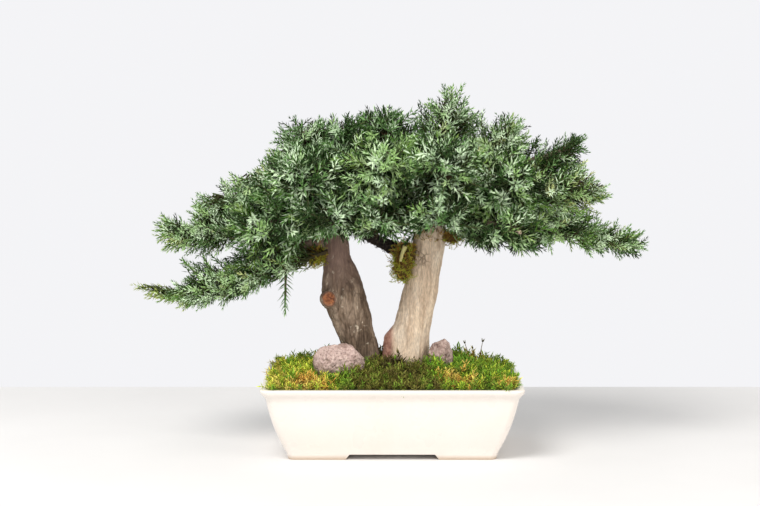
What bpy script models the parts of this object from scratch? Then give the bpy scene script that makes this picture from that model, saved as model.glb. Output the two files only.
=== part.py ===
"""A juniper bonsai with two trunks, standing in a footed rectangular pot.

Metres, +Z up. The origin is the middle of the pot on the plane that its feet stand on. +X runs along the
pot's long side and -Y is the front. The pot holds soil over two drain screens. The trunks go down into the
soil, and moss and stones cover it. Every foliage spray is a plain closed body of the volume that its shoots
and needles take up, around the limb that carries it.
"""

import math

import bmesh
import bpy
from mathutils import Matrix, Vector, noise

MM = 0.001
GAP = 0.3 * MM  # what two pieces that touch keep between their faces
UP = Vector((0, 0, 1))

# Pot. Half sizes are the rim's. POT_INSET is the outside: height, and how far in from the rim it lies, in mm.
POT_HALF_X, POT_HALF_Y, POT_HEIGHT = 95 * MM, 65 * MM, 54 * MM
POT_INSET = ((0, 19.5), (6, 17.5), (16, 12.8), (28, 8.4), (40, 5.2), (47, 3.6), (50.5, 0.9), (53, 0))
POT_CORNER, LEAST_CORNER = 9 * MM, 2.5 * MM
WALL, FLOOR = 5 * MM, 5 * MM
RIM_ROUND, FLOOR_ROUND = 1.6 * MM, 1.5 * MM
INSIDE_HEIGHTS = (20 * MM, 34 * MM, 46 * MM)  # where the inside wall bends, over the floor
FOOT_HEIGHT = 4 * MM
FLOOR_TOP = FOOT_HEIGHT + FLOOR
FRONT_ARCH, SIDE_ARCH = 31 * MM, 22 * MM  # half the width between two feet
DRAIN_RADIUS, DRAIN_X = 6 * MM, 42 * MM
SCREEN_HALF, SCREEN_THICK, SCREEN_STRAND = 9 * MM, 0.8 * MM, 1 * MM

# Soil and moss. Both are heaped towards the middle of the pot.
SOIL_TOP, SOIL_HEAP = 48 * MM, 6 * MM
MOSS_EDGE, MOSS_HEAP = 53 * MM, 11.5 * MM
MOSS_LUMP, MOSS_LUMP_WIDTH = 1.6 * MM, 11 * MM
MOSS_SEAM_Y = 2 * MM  # between the front sheets and the back ones, through both trunks
FRONT_SEAMS_X, BACK_SEAM_X = (-20 * MM, 12 * MM), -5 * MM

# Wood. Each station is x, y, z and radius in mm, from the buried end up.
LEFT_TRUNK = (
    (-19, 3, 28, 9), (-20, 1, 55, 11.5), (-21, 0, 68, 11.9), (-25, 0, 82, 13), (-28.5, 0, 92, 14),
    (-32, 0, 103, 15.2), (-35, 0, 113, 16), (-37, 0, 121, 15), (-39, 0, 131, 12.6), (-40.5, 0, 141, 10.4),
    (-41, 0, 150, 9.2), (-43, 0, 168, 8.4), (-47, 1, 186, 6.6),
)  # fmt: skip
RIGHT_TRUNK = (
    (8, 2, 28, 12), (10, 1, 55, 14.5), (12, 0, 68, 15), (13.5, 0, 80, 14.2), (15, 0, 92, 13.6),
    (17.5, 0, 102, 13.2), (20, 0, 113, 13), (22, 0, 124, 12.7), (24.5, 0, 136, 12), (26.5, 0, 148, 11.6),
    (28, 0, 160, 11.4), (30, 0, 174, 10), (32, 0, 190, 7.5),
)  # fmt: skip
LEFT_LIMBS = {
    "knot": ((-40, -3, 111, 8), (-47.5, -9, 113, 7), (-50, -11.5, 113.5, 4.5)),
    "low": (
        (-41, 0, 154, 7), (-68, -5, 153, 5.4), (-100, -8, 139, 4), (-132, -7, 121, 2.6), (-158, -6, 114, 1.4),
    ),
    "outer": ((-43, 0, 168, 7), (-72, 2, 179, 5.2), (-106, 2, 178, 3.8), (-142, -1, 168, 2)),
    "top": ((-47, 1, 182, 6.4), (-56, 1, 208, 4.6), (-64, 0, 236, 2.2)),
    "front": ((-44, -3, 168, 5.5), (-54, -30, 182, 4), (-66, -58, 198, 2)),
    "front_fork": ((-50, -20, 176, 3.6), (-76, -30, 173, 2.8), (-104, -42, 169, 1.6)),
    "back": ((-44, 3, 168, 5.5), (-52, 32, 182, 4), (-64, 60, 198, 2)),
    "back_fork": ((-49, 22, 176, 3.6), (-76, 32, 174, 2.8), (-104, 44, 172, 1.6)),
    "low_fork": ((-62, -4, 153, 3.6), (-82, 16, 147, 2.8), (-108, 34, 139, 1.6)),
    "hanging": ((-80, -7, 148, 2.8), (-78, -16, 138, 2.2), (-78, -19, 116, 1.3)),
}
RIGHT_LIMBS = {
    "flare": ((8, -1, 94, 5), (1, -3, 82, 7), (0.5, -3, 70, 7.5), (3, -2, 52, 7)),
    "cross": ((22, 6, 141, 6), (4, 15, 147, 5), (-16, 19, 156, 4.2), (-30, 20, 166, 3)),
    "top": ((32, 0, 186, 7), (38, 1, 215, 5), (44, 0, 250, 2.2)),
    "middle": ((31, 0, 182, 6.4), (10, 2, 206, 4.6), (-12, 1, 234, 2.2)),
    "high": ((32, 0, 184, 6.4), (66, 2, 206, 4.8), (98, 4, 212, 3.4), (132, 7, 222, 1.8)),
    "low": ((30, 0, 174, 7), (66, -4, 181, 5.4), (108, -6, 174, 3.8), (150, -5, 160, 2)),
    "front": ((30, -4, 176, 5.5), (32, -34, 195, 4), (38, -64, 208, 2)),
    "front_fork": ((30, -20, 184, 3.6), (60, -36, 174, 2.8), (92, -51, 166, 1.6)),
    "front_high_fork": ((31, -26, 190, 3.6), (62, -34, 195, 2.8), (88, -52, 202, 1.6)),
    "back": ((30, 4, 176, 5.5), (36, 36, 194, 4), (42, 64, 206, 2)),
    "back_fork": ((33, 20, 184, 3.6), (66, 32, 174, 2.8), (102, 42, 169, 1.6)),
    "back_high_fork": ((35, 30, 190, 3.6), (66, 38, 196, 2.8), (92, 56, 203, 1.6)),
    "middle_front": ((12, -1, 203, 4), (-2, -28, 201, 3), (-7, -66, 212, 1.6)),
    "middle_brow": ((2, -20, 201, 3), (-8, -40, 187, 2.4), (-9, -62, 181, 1.6)),
    "middle_back": ((12, 3, 203, 4), (0, 30, 200, 3), (-7, 66, 210, 1.6)),
    "middle_left": ((6, 1, 208, 4), (-14, 1, 218, 3), (-32, 0, 236, 1.6)),
    "high_fork": ((98, 4, 212, 3), (118, 3, 202, 2.4), (148, 1, 196, 1.6)),
}
TRUNK_SIDES, LIMB_SIDES = 16, 8

# Stones: middle, half sizes and turn about Z. The soil and the moss are cut to them.
STONES = {
    "stone_left": ((-39, -26, 67.5), (19.5, 12.2, 16.5), -8),
    "stone_right": ((36, -13, 70), (9.8, 9, 14), 20),
}
# A stone is broken flat towards these sides, FLAT_DEPTH of the way out from its middle.
FLAT_SIDES = ((0.5, -0.8, 0.3), (-0.8, -0.4, 0.5), (0.75, 0.3, 0.6), (-0.2, 0.1, 1), (0.1, 1, 0.1))
FLAT_DEPTH, FLATNESS, STONE_BUMPS = 0.86, 0.8, 0.07
TWIG = ((6, -15.3, 141.5, 1.2), (7, -16.6, 146, 1.3), (9.5, -17.2, 153, 1.9))

# Soft growths: where each is rooted, its tip, half its width and half its thickness, all in mm.
TUFTS = {
    "moss_tuft_left": ((-57, -5, 137), (-57, -5, 155), 9, 9.5),
    "moss_tuft_middle": ((7, -6, 124), (11, -6, 157), 9, 8.5),
    "moss_tuft_right": ((44.5, -4, 153), (44.5, -4, 165), 8, 7),
}
SPRAYS = {
    "spray_left_low_tip": ((-150, -6, 114), (-191, -7, 125), 8, 6.5),
    "spray_left_low_outer": ((-104, -6, 126), (-168, -9, 118), 28, 17),
    "spray_left_low_inner": ((-52, -14, 147), (-114, -20, 128), 27, 17),
    "spray_left_low_back": ((-56, 18, 152), (-120, 40, 136), 24, 17),
    "spray_left_hanging": ((-76, -18, 133), (-79, -19, 101), 8, 8),
    "spray_left_tip": ((-120, -2, 165), (-178, -5, 163), 31, 17),
    "spray_left_shoulder": ((-98, 1, 180), (-146, 2, 194), 27, 15),
    "spray_left_front": ((-58, -18, 172), (-116, -46, 168), 26, 22),
    "spray_left_back": ((-58, 18, 172), (-116, 48, 172), 26, 22),
    "spray_left_upper": ((-64, 1, 192), (-112, 3, 206), 32, 19),
    "spray_crown_left": ((-58, 0, 200), (-70, 0, 252), 26, 26),
    "spray_crown_left_front": ((-52, -22, 194), (-74, -74, 214), 27, 26),
    "spray_crown_left_back": ((-52, 22, 194), (-74, 76, 214), 27, 26),
    "spray_crown_inner_left": ((-36, 0, 205), (-32, 0, 252), 22, 30),
    "spray_brow_left": ((-44, -22, 176), (-40, -78, 180), 26, 18),
    "spray_brow_middle": ((-6, -24, 184), (-10, -80, 178), 22, 19),
    "spray_crown_middle": ((-4, 1, 206), (-6, 1, 256), 24, 30),
    "spray_crown_front": ((-6, -26, 204), (-8, -82, 222), 26, 22),
    "spray_crown_back": ((-4, 26, 198), (-8, 84, 214), 32, 26),
    "spray_apex": ((38, 0, 220), (45, 0, 273), 20, 20),
    "spray_right_front_high": ((34, -26, 206), (40, -84, 218), 26, 24),
    "spray_right_front_low": ((34, -24, 180), (36, -80, 178), 25, 17),
    "spray_right_back": ((38, 26, 200), (46, 86, 212), 28, 28),
    "spray_right_upper": ((62, 1, 206), (96, 2, 246), 27, 22),
    "spray_right_upper_front": ((66, -22, 196), (96, -66, 206), 25, 21),
    "spray_right_upper_back": ((66, 24, 196), (100, 66, 206), 26, 22),
    "spray_right_dark": ((106, 6, 210), (150, 11, 233), 19, 13),
    "spray_right_middle": ((92, -1, 192), (166, 0, 195), 31, 18),
    "spray_right_skirt": ((52, -28, 170), (104, -56, 164), 24, 16),
    "spray_right_under": ((50, -2, 168), (110, -10, 156), 27, 14),
    "spray_right_back_low": ((58, 24, 172), (116, 48, 168), 26, 20),
    "spray_right_low": ((104, -6, 170), (150, -12, 158), 27, 15),
    "spray_right_low_tip": ((142, -5, 160), (190, -6, 151), 20, 13),
}


def clear_scene():
    for obj in list(bpy.data.objects):
        bpy.data.objects.remove(obj, do_unlink=True)


def material(name, colour, roughness, metallic=0.0):
    made = bpy.data.materials.new(name)
    made.use_nodes = True
    shader = made.node_tree.nodes["Principled BSDF"]
    shader.inputs["Base Color"].default_value = (*colour, 1.0)
    shader.inputs["Roughness"].default_value = roughness
    shader.inputs["Metallic"].default_value = metallic
    made.diffuse_color = (*colour, 1.0)
    return made


def add_object(name, bm, finish=None):
    """A linked object from a bmesh. With no finish it is a cutter, which the build leaves out."""
    bmesh.ops.triangulate(bm, faces=bm.faces)
    bmesh.ops.recalc_face_normals(bm, faces=bm.faces)
    mesh = bpy.data.meshes.new(name)
    bm.to_mesh(mesh)
    bm.free()
    obj = bpy.data.objects.new(name, mesh)
    bpy.context.scene.collection.objects.link(obj)
    if finish:
        mesh.materials.append(finish)
        mesh.shade_smooth()
        mesh.set_sharp_from_angle(angle=math.radians(35))
    else:
        obj.hide_render = True
        obj.display_type = "WIRE"
    return obj


def boolean(obj, other, operation="DIFFERENCE"):
    modifier = obj.modifiers.new(f"{operation.lower()}_{other.name}", "BOOLEAN")
    modifier.operation = operation
    modifier.solver = "EXACT"
    modifier.object = other


def box_of(obj):
    corners = [obj.matrix_basis @ vert.co for vert in obj.data.vertices]
    low = Vector(min(corner[i] for corner in corners) for i in range(3))
    high = Vector(max(corner[i] for corner in corners) for i in range(3))
    return low, high


def make_room(obj, cutters):
    """Takes out of a piece what the cutters that reach it take up."""
    low, high = box_of(obj)
    for cutter in cutters:
        cutter_low, cutter_high = box_of(cutter)
        if all(low[i] <= cutter_high[i] and cutter_low[i] <= high[i] for i in range(3)):
            boolean(obj, cutter)


def loft(rings):
    """One closed skin over rings of equally many points, with both ends capped."""
    bm = bmesh.new()
    loops = [[bm.verts.new(point) for point in ring] for ring in rings]
    for lower, upper in zip(loops, loops[1:]):
        count = len(lower)
        for i in range(count):
            bm.faces.new((lower[i], lower[(i + 1) % count], upper[(i + 1) % count], upper[i]))
    bm.faces.new(reversed(loops[0]))
    bm.faces.new(loops[-1])
    return bm


def rounded_rectangle(half_x, half_y, radius, z, steps=4):
    ring = []
    for corner, (side_x, side_y) in enumerate(((1, 1), (-1, 1), (-1, -1), (1, -1))):
        for step in range(steps + 1):
            angle = math.radians(90 * (corner + step / steps))
            x = side_x * (half_x - radius) + radius * math.cos(angle)
            y = side_y * (half_y - radius) + radius * math.sin(angle)
            ring.append(Vector((x, y, z)))
    return ring


def pot_section(inset, z, extra=0.0):
    """The pot's outline at a height, inset in metres from the rim. Corners tighten as the outline shrinks."""
    radius = max(POT_CORNER - 0.25 * inset - extra, LEAST_CORNER)
    return rounded_rectangle(POT_HALF_X - inset - extra, POT_HALF_Y - inset - extra, radius, z)


def outside_inset(z):
    """How far the pot's outside lies in from the rim at this height."""
    stations = [(height * MM, inset * MM) for height, inset in POT_INSET]
    for (z0, inset0), (z1, inset1) in zip(stations, stations[1:]):
        if z <= z1:
            return inset0 + (inset1 - inset0) * (z - z0) / (z1 - z0)
    return stations[-1][1]


def inside_inset(z):
    return outside_inset(z) + WALL


def make_pot(glaze):
    outer = [pot_section(inset * MM, z * MM) for z, inset in POT_INSET]
    rim = [
        pot_section(0.3 * RIM_ROUND, POT_HEIGHT - 0.2 * RIM_ROUND),
        pot_section(RIM_ROUND, POT_HEIGHT),
        pot_section(WALL - RIM_ROUND, POT_HEIGHT),
        pot_section(WALL, POT_HEIGHT - 0.8 * RIM_ROUND),
    ]
    heights = (*reversed(INSIDE_HEIGHTS), FLOOR_TOP + FLOOR_ROUND)
    inner = [pot_section(inside_inset(z), z) for z in heights]
    inner.append(pot_section(inside_inset(FLOOR_TOP) + FLOOR_ROUND, FLOOR_TOP))
    pot = add_object("pot", loft(outer + rim + inner), glaze)
    for name, half, turn in (("front_arch", FRONT_ARCH, 0), ("side_arch", SIDE_ARCH, 90)):
        boolean(pot, arch_cutter(name, half, turn))
    for side in (-1, 1):
        boolean(pot, drain_cutter(side))


def arch_cutter(name, half, turn):
    """A channel between the feet, wider at the ground, right through under the pot."""
    reach, below, flare = 120 * MM, 3 * MM, 3 * MM
    section = ((-half - flare, -below), (half + flare, -below), (half, FOOT_HEIGHT), (-half, FOOT_HEIGHT))
    rings = [[Vector((x, y, z)) for x, z in section] for y in (-reach, reach)]
    cutter = add_object(f"cutter_{name}", loft(rings))
    cutter.rotation_euler.z = math.radians(turn)
    return cutter


def side_name(side):
    return "left" if side < 0 else "right"


def drain_cutter(side):
    bm = bmesh.new()
    size = {"radius1": DRAIN_RADIUS, "radius2": DRAIN_RADIUS, "depth": 6 * FLOOR}
    bmesh.ops.create_cone(bm, cap_ends=True, segments=20, **size)
    cutter = add_object(f"cutter_drain_{side_name(side)}", bm)
    cutter.location = (side * DRAIN_X, 0, FOOT_HEIGHT)
    return cutter


def make_drain_screen(side, plastic):
    """A plastic mesh square that keeps the soil in over a drain hole."""
    bm = bmesh.new()
    bmesh.ops.create_grid(bm, x_segments=3, y_segments=3, size=SCREEN_HALF)
    strands = bmesh.ops.inset_individual(bm, faces=bm.faces[:], thickness=SCREEN_STRAND)["faces"]
    meshes = [face for face in bm.faces if face not in set(strands)]
    bmesh.ops.delete(bm, geom=meshes, context="FACES_ONLY")
    screen = add_object(f"drain_screen_{side_name(side)}", bm, plastic)
    screen.location = (side * DRAIN_X, 0, FLOOR_TOP + GAP)
    thickness = screen.modifiers.new("thickness", "SOLIDIFY")
    thickness.thickness = SCREEN_THICK
    thickness.offset = 1
    return screen


def screen_pocket(side):
    """The room that a drain screen takes out of the soil."""
    bm = bmesh.new()
    bmesh.ops.create_cube(bm, size=2)
    half = SCREEN_HALF + GAP
    bmesh.ops.scale(bm, vec=(half, half, SCREEN_THICK + 2 * GAP), verts=bm.verts)
    cutter = add_object(f"cutter_screen_{side_name(side)}", bm)
    cutter.location = (side * DRAIN_X, 0, FLOOR_TOP)
    return cutter


def heap(x, y):
    """1 in the middle of the pot, falling to 0 at its inner walls."""
    across = min(abs(x) / (POT_HALF_X - WALL), 1)
    along = min(abs(y) / (POT_HALF_Y - WALL), 1)
    return (1 - across**3) * (1 - along**3)


def heaped_block(side_rings):
    """Stacked outlines under a heaped top, whose rings shrink towards the middle."""
    rings = list(side_rings)
    for share in (0.88, 0.68, 0.45, 0.2):
        ring = []
        for point in side_rings[-1]:
            x, y = point.x * share, point.y * share
            ring.append(Vector((x, y, SOIL_TOP + SOIL_HEAP * heap(x, y))))
        rings.append(ring)
    return loft(rings)


def make_soil(earth, cutters):
    rings = [pot_section(inside_inset(FLOOR_TOP) + FLOOR_ROUND, FLOOR_TOP + GAP, 2 * GAP)]
    for z in (FLOOR_TOP + FLOOR_ROUND + GAP, *INSIDE_HEIGHTS, SOIL_TOP):
        rings.append(pot_section(inside_inset(z), z, 2 * GAP))
    make_room(add_object("soil", heaped_block(rings), earth), cutters)


def moss_sheet():
    """The whole moss cover: a sheet from just over the soil up to its heaped, lumpy top."""
    bottom, top = [], []
    foot = pot_section(inside_inset(SOIL_TOP - 2 * MM), 0, 2 * GAP)
    for share in (0.25, 0.5, 0.75, 0.92, 1.0):
        ring = [point * share for point in foot]
        for point in ring:
            point.z = SOIL_TOP + SOIL_HEAP * heap(point.x, point.y) + 3 * GAP
        bottom.append(ring)
    lip = pot_section(inside_inset(POT_HEIGHT), MOSS_EDGE, 2 * GAP)
    for share in (0.96, 0.88, 0.76, 0.6, 0.42, 0.2):
        ring = []
        for point in lip:
            x, y = point.x * share, point.y * share
            lump = MOSS_LUMP * noise.noise(Vector((x, y, 0)) / MOSS_LUMP_WIDTH)
            ring.append(Vector((x, y, MOSS_EDGE + MOSS_HEAP * heap(x, y) + lump)))
        top.append(ring)
    return loft([*bottom, lip, *top])


def halve(bm, point, normal, keep_outer=False):
    """Cuts a closed bmesh by a plane, keeps one side and closes the cut."""
    cut = bmesh.ops.bisect_plane(
        bm,
        geom=bm.verts[:] + bm.edges[:] + bm.faces[:],
        dist=1e-7,
        plane_co=point,
        plane_no=normal,
        clear_outer=not keep_outer,
        clear_inner=keep_outer,
    )
    edges = [item for item in cut["geom_cut"] if isinstance(item, bmesh.types.BMEdge)]
    if edges:
        bmesh.ops.contextual_create(bm, geom=edges)


def make_moss(green, cutters):
    """The cover is laid in sheets, which meet in seams."""
    left, right = FRONT_SEAMS_X
    across, half_seam = Vector((1, 0, 0)), Vector((0, 0.5 * GAP, 0))
    parts = {
        "moss_front_left": (-1, None, left),
        "moss_front_middle": (-1, left, right),
        "moss_front_right": (-1, right, None),
        "moss_back_left": (1, None, BACK_SEAM_X),
        "moss_back_right": (1, BACK_SEAM_X, None),
    }
    for name, (side, low, high) in parts.items():
        bm = moss_sheet()
        seam = Vector((0, MOSS_SEAM_Y, 0)) + side * half_seam
        halve(bm, seam, Vector((0, 1, 0)), keep_outer=side > 0)
        if low is not None:
            halve(bm, across * (low + 0.5 * GAP), across, keep_outer=True)
        if high is not None:
            halve(bm, across * (high - 0.5 * GAP), across)
        make_room(add_object(name, bm, green), cutters)


def tube(stations, sides, extra=0.0):
    """A closed tapering tube through stations of x, y, z and radius in mm. extra fattens and lengthens it."""
    points = [Vector(station[:3]) * MM for station in stations]
    radii = [station[3] * MM + extra for station in stations]
    points[-1] = points[-1] + (points[-1] - points[-2]).normalized() * extra
    side = Vector((0, 1, 0))
    rings = []
    for i, (point, radius) in enumerate(zip(points, radii)):
        along = (points[min(i + 1, len(points) - 1)] - points[max(i - 1, 0)]).normalized()
        if abs(along.dot(side)) > 0.9:
            side = Vector((1, 0, 0))
        across = along.cross(side).normalized()
        side = across.cross(along).normalized()
        rings.append(
            [
                point + radius * (math.cos(turn) * across + math.sin(turn) * side)
                for turn in (2 * math.pi * step / sides for step in range(sides))
            ]
        )
    return loft(rings)


def make_tree(name, trunk, limbs, bark):
    """One trunk with its limbs, grown together. Returns the cutters that clear it out of other pieces."""
    tree = add_object(name, tube(trunk, TRUNK_SIDES), bark)
    cutters = {"trunk": add_object(f"cutter_{name}", tube(trunk, TRUNK_SIDES, GAP))}
    for limb, stations in limbs.items():
        grown = add_object(f"union_{name}_{limb}", tube(stations, LIMB_SIDES))
        boolean(tree, grown, "UNION")
        cutters[limb] = add_object(f"cutter_{name}_{limb}", tube(stations, LIMB_SIDES, GAP))
    return cutters


def stone_shape(name, extra=0.0):
    """A rough stone. extra thickens it all over, to clear its room out of other pieces."""
    middle, half, turn = STONES[name]
    bm = bmesh.new()
    bmesh.ops.create_icosphere(bm, subdivisions=3, radius=1)
    for vert in bm.verts:
        point = vert.co.copy()
        for side in FLAT_SIDES:
            normal = Vector(side).normalized()
            over = max(point.dot(normal) - FLAT_DEPTH, 0)
            point -= normal * over * FLATNESS
        point *= 1 + STONE_BUMPS * noise.noise(vert.co * 1.7 + Vector((len(name), 0, 0)))
        vert.co = Vector((point.x * half[0], point.y * half[1], point.z * half[2])) * MM
    bm.normal_update()
    for vert in bm.verts:
        vert.co += vert.normal * extra
    place = Matrix.Translation(Vector(middle) * MM) @ Matrix.Rotation(math.radians(turn), 4, "Z")
    bmesh.ops.transform(bm, matrix=place, verts=bm.verts)
    return bm


class Growth:
    """A spray's or a tuft's body: an ellipsoid from its root to its tip, lying level across."""

    def __init__(self, root, tip, half_width, half_thickness):
        root, tip = Vector(root) * MM, Vector(tip) * MM
        self.middle = (root + tip) / 2
        along = (tip - root).normalized()
        level = UP.cross(along) if abs(along.z) < 0.85 else Vector((0, 1, 0)).cross(along)
        level.normalize()
        self.turn = Matrix((along, level, along.cross(level))).transposed()
        self.half = Vector(((tip - root).length / 2, half_width * MM, half_thickness * MM))

    def body(self):
        bm = bmesh.new()
        bmesh.ops.create_icosphere(bm, subdivisions=2, radius=1)
        place = Matrix.Translation(self.middle) @ self.turn.to_4x4() @ Matrix.Diagonal((*self.half, 1))
        bmesh.ops.transform(bm, matrix=place, verts=bm.verts)
        return bm

    def depth(self, point):
        """How deep a point lies: 0 in the middle and 1 on the surface."""
        local = self.turn.transposed() @ (point - self.middle)
        return Vector(local[i] / self.half[i] for i in range(3)).length

    def outward(self, point):
        local = self.turn.transposed() @ (point - self.middle)
        return (self.turn @ Vector(local[i] / self.half[i] ** 2 for i in range(3))).normalized()


def meeting_plane(first, second):
    """A point and normal between two growths, where a point is as deep in one as in the other."""
    low, high = 0.0, 1.0
    for _ in range(30):
        share = (low + high) / 2
        point = first.middle.lerp(second.middle, share)
        if first.depth(point) < second.depth(point):
            low = share
        else:
            high = share
    normal = first.outward(point) - second.outward(point)
    return point, normal.normalized()


def make_growths(needles, moss, cutters):
    """Neighbours press together, so each is trimmed flat where it meets the next."""
    growths = {name: Growth(*numbers) for name, numbers in {**SPRAYS, **TUFTS}.items()}
    for name, growth in growths.items():
        bm = growth.body()
        for other_name, other in growths.items():
            if other_name == name:
                continue
            point, normal = meeting_plane(growth, other)
            if growth.depth(point) < 1:
                halve(bm, point - normal * 0.5 * GAP, normal)
        make_room(add_object(name, bm, moss if name in TUFTS else needles), cutters)


def main():
    clear_scene()
    glaze = material("cream_glaze", (0.90, 0.87, 0.79), 0.28)
    earth = material("potting_soil", (0.06, 0.04, 0.025), 0.95)
    plastic = material("screen_plastic", (0.03, 0.05, 0.03), 0.6)
    grey_bark = material("grey_brown_bark", (0.20, 0.15, 0.11), 0.85)
    tan_bark = material("tan_bark", (0.40, 0.31, 0.22), 0.8)
    pink_stone = material("pink_grey_stone", (0.44, 0.33, 0.30), 0.9)
    green_moss = material("green_moss", (0.13, 0.20, 0.03), 0.95)
    old_moss = material("olive_moss", (0.28, 0.24, 0.04), 0.95)
    pale_wood = material("pale_twig", (0.55, 0.50, 0.22), 0.7)
    needles = material("juniper_needles", (0.08, 0.17, 0.10), 0.7)

    make_pot(glaze)
    for side in (-1, 1):
        make_drain_screen(side, plastic)

    left = make_tree("left_trunk", LEFT_TRUNK, LEFT_LIMBS, grey_bark)
    right = make_tree("right_trunk", RIGHT_TRUNK, RIGHT_LIMBS, tan_bark)
    wood = [*left.values(), *right.values()]
    stones = []
    for name in STONES:
        add_object(name, stone_shape(name), pink_stone)
        stones.append(add_object(f"cutter_{name}", stone_shape(name, GAP)))

    planted = [left["trunk"], right["trunk"], right["flare"], *stones]
    make_soil(earth, planted + [screen_pocket(-1), screen_pocket(1)])
    make_moss(green_moss, planted)
    add_object("pale_twig", tube(TWIG, LIMB_SIDES), pale_wood)
    twig_room = add_object("cutter_pale_twig", tube(TWIG, LIMB_SIDES, GAP))
    make_growths(needles, old_moss, [*wood, twig_room])


main()
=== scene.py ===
import math

import bmesh
import bpy
import numpy as np
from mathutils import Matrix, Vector, noise


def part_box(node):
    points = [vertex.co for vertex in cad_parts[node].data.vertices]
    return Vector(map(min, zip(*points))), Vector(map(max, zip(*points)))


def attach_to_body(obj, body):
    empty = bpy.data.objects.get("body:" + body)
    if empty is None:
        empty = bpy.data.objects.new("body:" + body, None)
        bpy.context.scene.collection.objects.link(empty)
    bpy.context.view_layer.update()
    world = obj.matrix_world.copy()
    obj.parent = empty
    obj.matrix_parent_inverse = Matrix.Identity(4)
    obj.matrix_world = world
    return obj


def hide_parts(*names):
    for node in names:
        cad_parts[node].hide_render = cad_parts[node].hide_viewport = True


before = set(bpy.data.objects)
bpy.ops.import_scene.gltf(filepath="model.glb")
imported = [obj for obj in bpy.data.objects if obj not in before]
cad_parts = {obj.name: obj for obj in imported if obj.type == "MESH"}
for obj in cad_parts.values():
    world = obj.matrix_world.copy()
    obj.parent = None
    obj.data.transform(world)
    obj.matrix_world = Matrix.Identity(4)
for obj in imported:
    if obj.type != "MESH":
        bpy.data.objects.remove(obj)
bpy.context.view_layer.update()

# ---------------------------------------------------------------------------------------------------------
# The pot. Slip-cast stoneware under a cream-white glaze: a tapered oblong bowl with a flared lip, which
# stands on four corner feet. The glaze was wiped off the undersides of the feet before the firing.
# ---------------------------------------------------------------------------------------------------------

MM = 0.001
POT_HALF_X, POT_HALF_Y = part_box("pot")[1].xy
# Height and how far in from the lip the outside lies, in mm, from the feet up and over the lip.
POT_OUTSIDE = (
    (0.0, 19.5), (2.5, 18.7), (6.0, 17.5), (11.0, 15.0), (16.0, 12.8), (22.0, 10.4), (28.0, 8.4),
    (34.0, 6.7), (40.0, 5.2), (44.0, 4.4), (46.6, 3.7), (48.4, 2.5), (49.8, 1.2), (51.3, 0.35),
    (52.8, 0.0), (53.6, 0.35), (54.0, 1.5),
)
# The same down the inside, from the lip to the floor.
POT_INSIDE = (
    (54.0, 3.4), (53.3, 4.6), (51.0, 5.9), (46.0, 9.0), (34.0, 11.7), (20.0, 16.0), (10.5, 20.9), (9.0, 22.5),
)
FOOT_CORNER = 5.27 * MM
FOOT_HEIGHT, ARCH_FRONT, ARCH_SIDE, ARCH_SLANT = 4 * MM, 31 * MM, 22 * MM, 3 * MM
DRAIN_X, DRAIN_RADIUS = 42 * MM, 6 * MM


def deselect():
    """Leaves nothing selected, so that the next operator acts only on what it adds."""
    if bpy.context.mode != "OBJECT":
        bpy.ops.object.mode_set(mode="OBJECT")
    bpy.ops.object.select_all(action="DESELECT")


def make_active(obj):
    deselect()
    obj.select_set(True)
    bpy.context.view_layer.objects.active = obj


def pick_faces(obj, wanted):
    """In edit mode, selects just the faces that wanted(face) is true of."""
    bpy.ops.mesh.select_mode(type="FACE")
    bpy.ops.mesh.select_all(action="DESELECT")
    shape = bmesh.from_edit_mesh(obj.data)
    for face in shape.faces:
        face.select_set(bool(wanted(face)))
    bmesh.update_edit_mesh(obj.data)


def apply_modifiers(obj):
    make_active(obj)
    for modifier in list(obj.modifiers):
        bpy.ops.object.modifier_apply(modifier=modifier.name)


def cut_away(obj, cutter):
    """Takes the cutter's shape out of obj, and removes the cutter."""
    modifier = obj.modifiers.new("cut", "BOOLEAN")
    modifier.operation = "DIFFERENCE"
    modifier.solver = "EXACT"
    modifier.object = cutter
    apply_modifiers(obj)
    bpy.data.objects.remove(cutter)


deselect()
first_inset = POT_OUTSIDE[0][1] * MM
bpy.ops.mesh.primitive_plane_add(size=1, location=(0, 0, 0))
pot = bpy.context.object
pot.name = "glazed_pot"
pot.scale = (2 * (POT_HALF_X - first_inset), 2 * (POT_HALF_Y - first_inset), 1)
bpy.ops.object.transform_apply(location=True, rotation=True, scale=True)
bpy.ops.object.mode_set(mode="EDIT")
bpy.ops.mesh.select_all(action="SELECT")
bpy.ops.mesh.bevel(offset=FOOT_CORNER, segments=8, affect="VERTICES")
pick_faces(pot, lambda face: True)
height, inset = 0.0, first_inset
for station_height, station_inset in (*POT_OUTSIDE[1:], *POT_INSIDE):
    next_height, next_inset = station_height * MM, station_inset * MM
    bpy.ops.mesh.extrude_region_move(TRANSFORM_OT_translate={"value": (0, 0, next_height - height)})
    bpy.ops.transform.resize(
        value=(
            (POT_HALF_X - next_inset) / (POT_HALF_X - inset),
            (POT_HALF_Y - next_inset) / (POT_HALF_Y - inset),
            1,
        ),
        center_override=(0, 0, next_height),
    )
    height, inset = next_height, next_inset
bpy.ops.mesh.select_all(action="SELECT")
bpy.ops.mesh.normals_make_consistent(inside=False)
bpy.ops.object.mode_set(mode="OBJECT")

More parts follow.
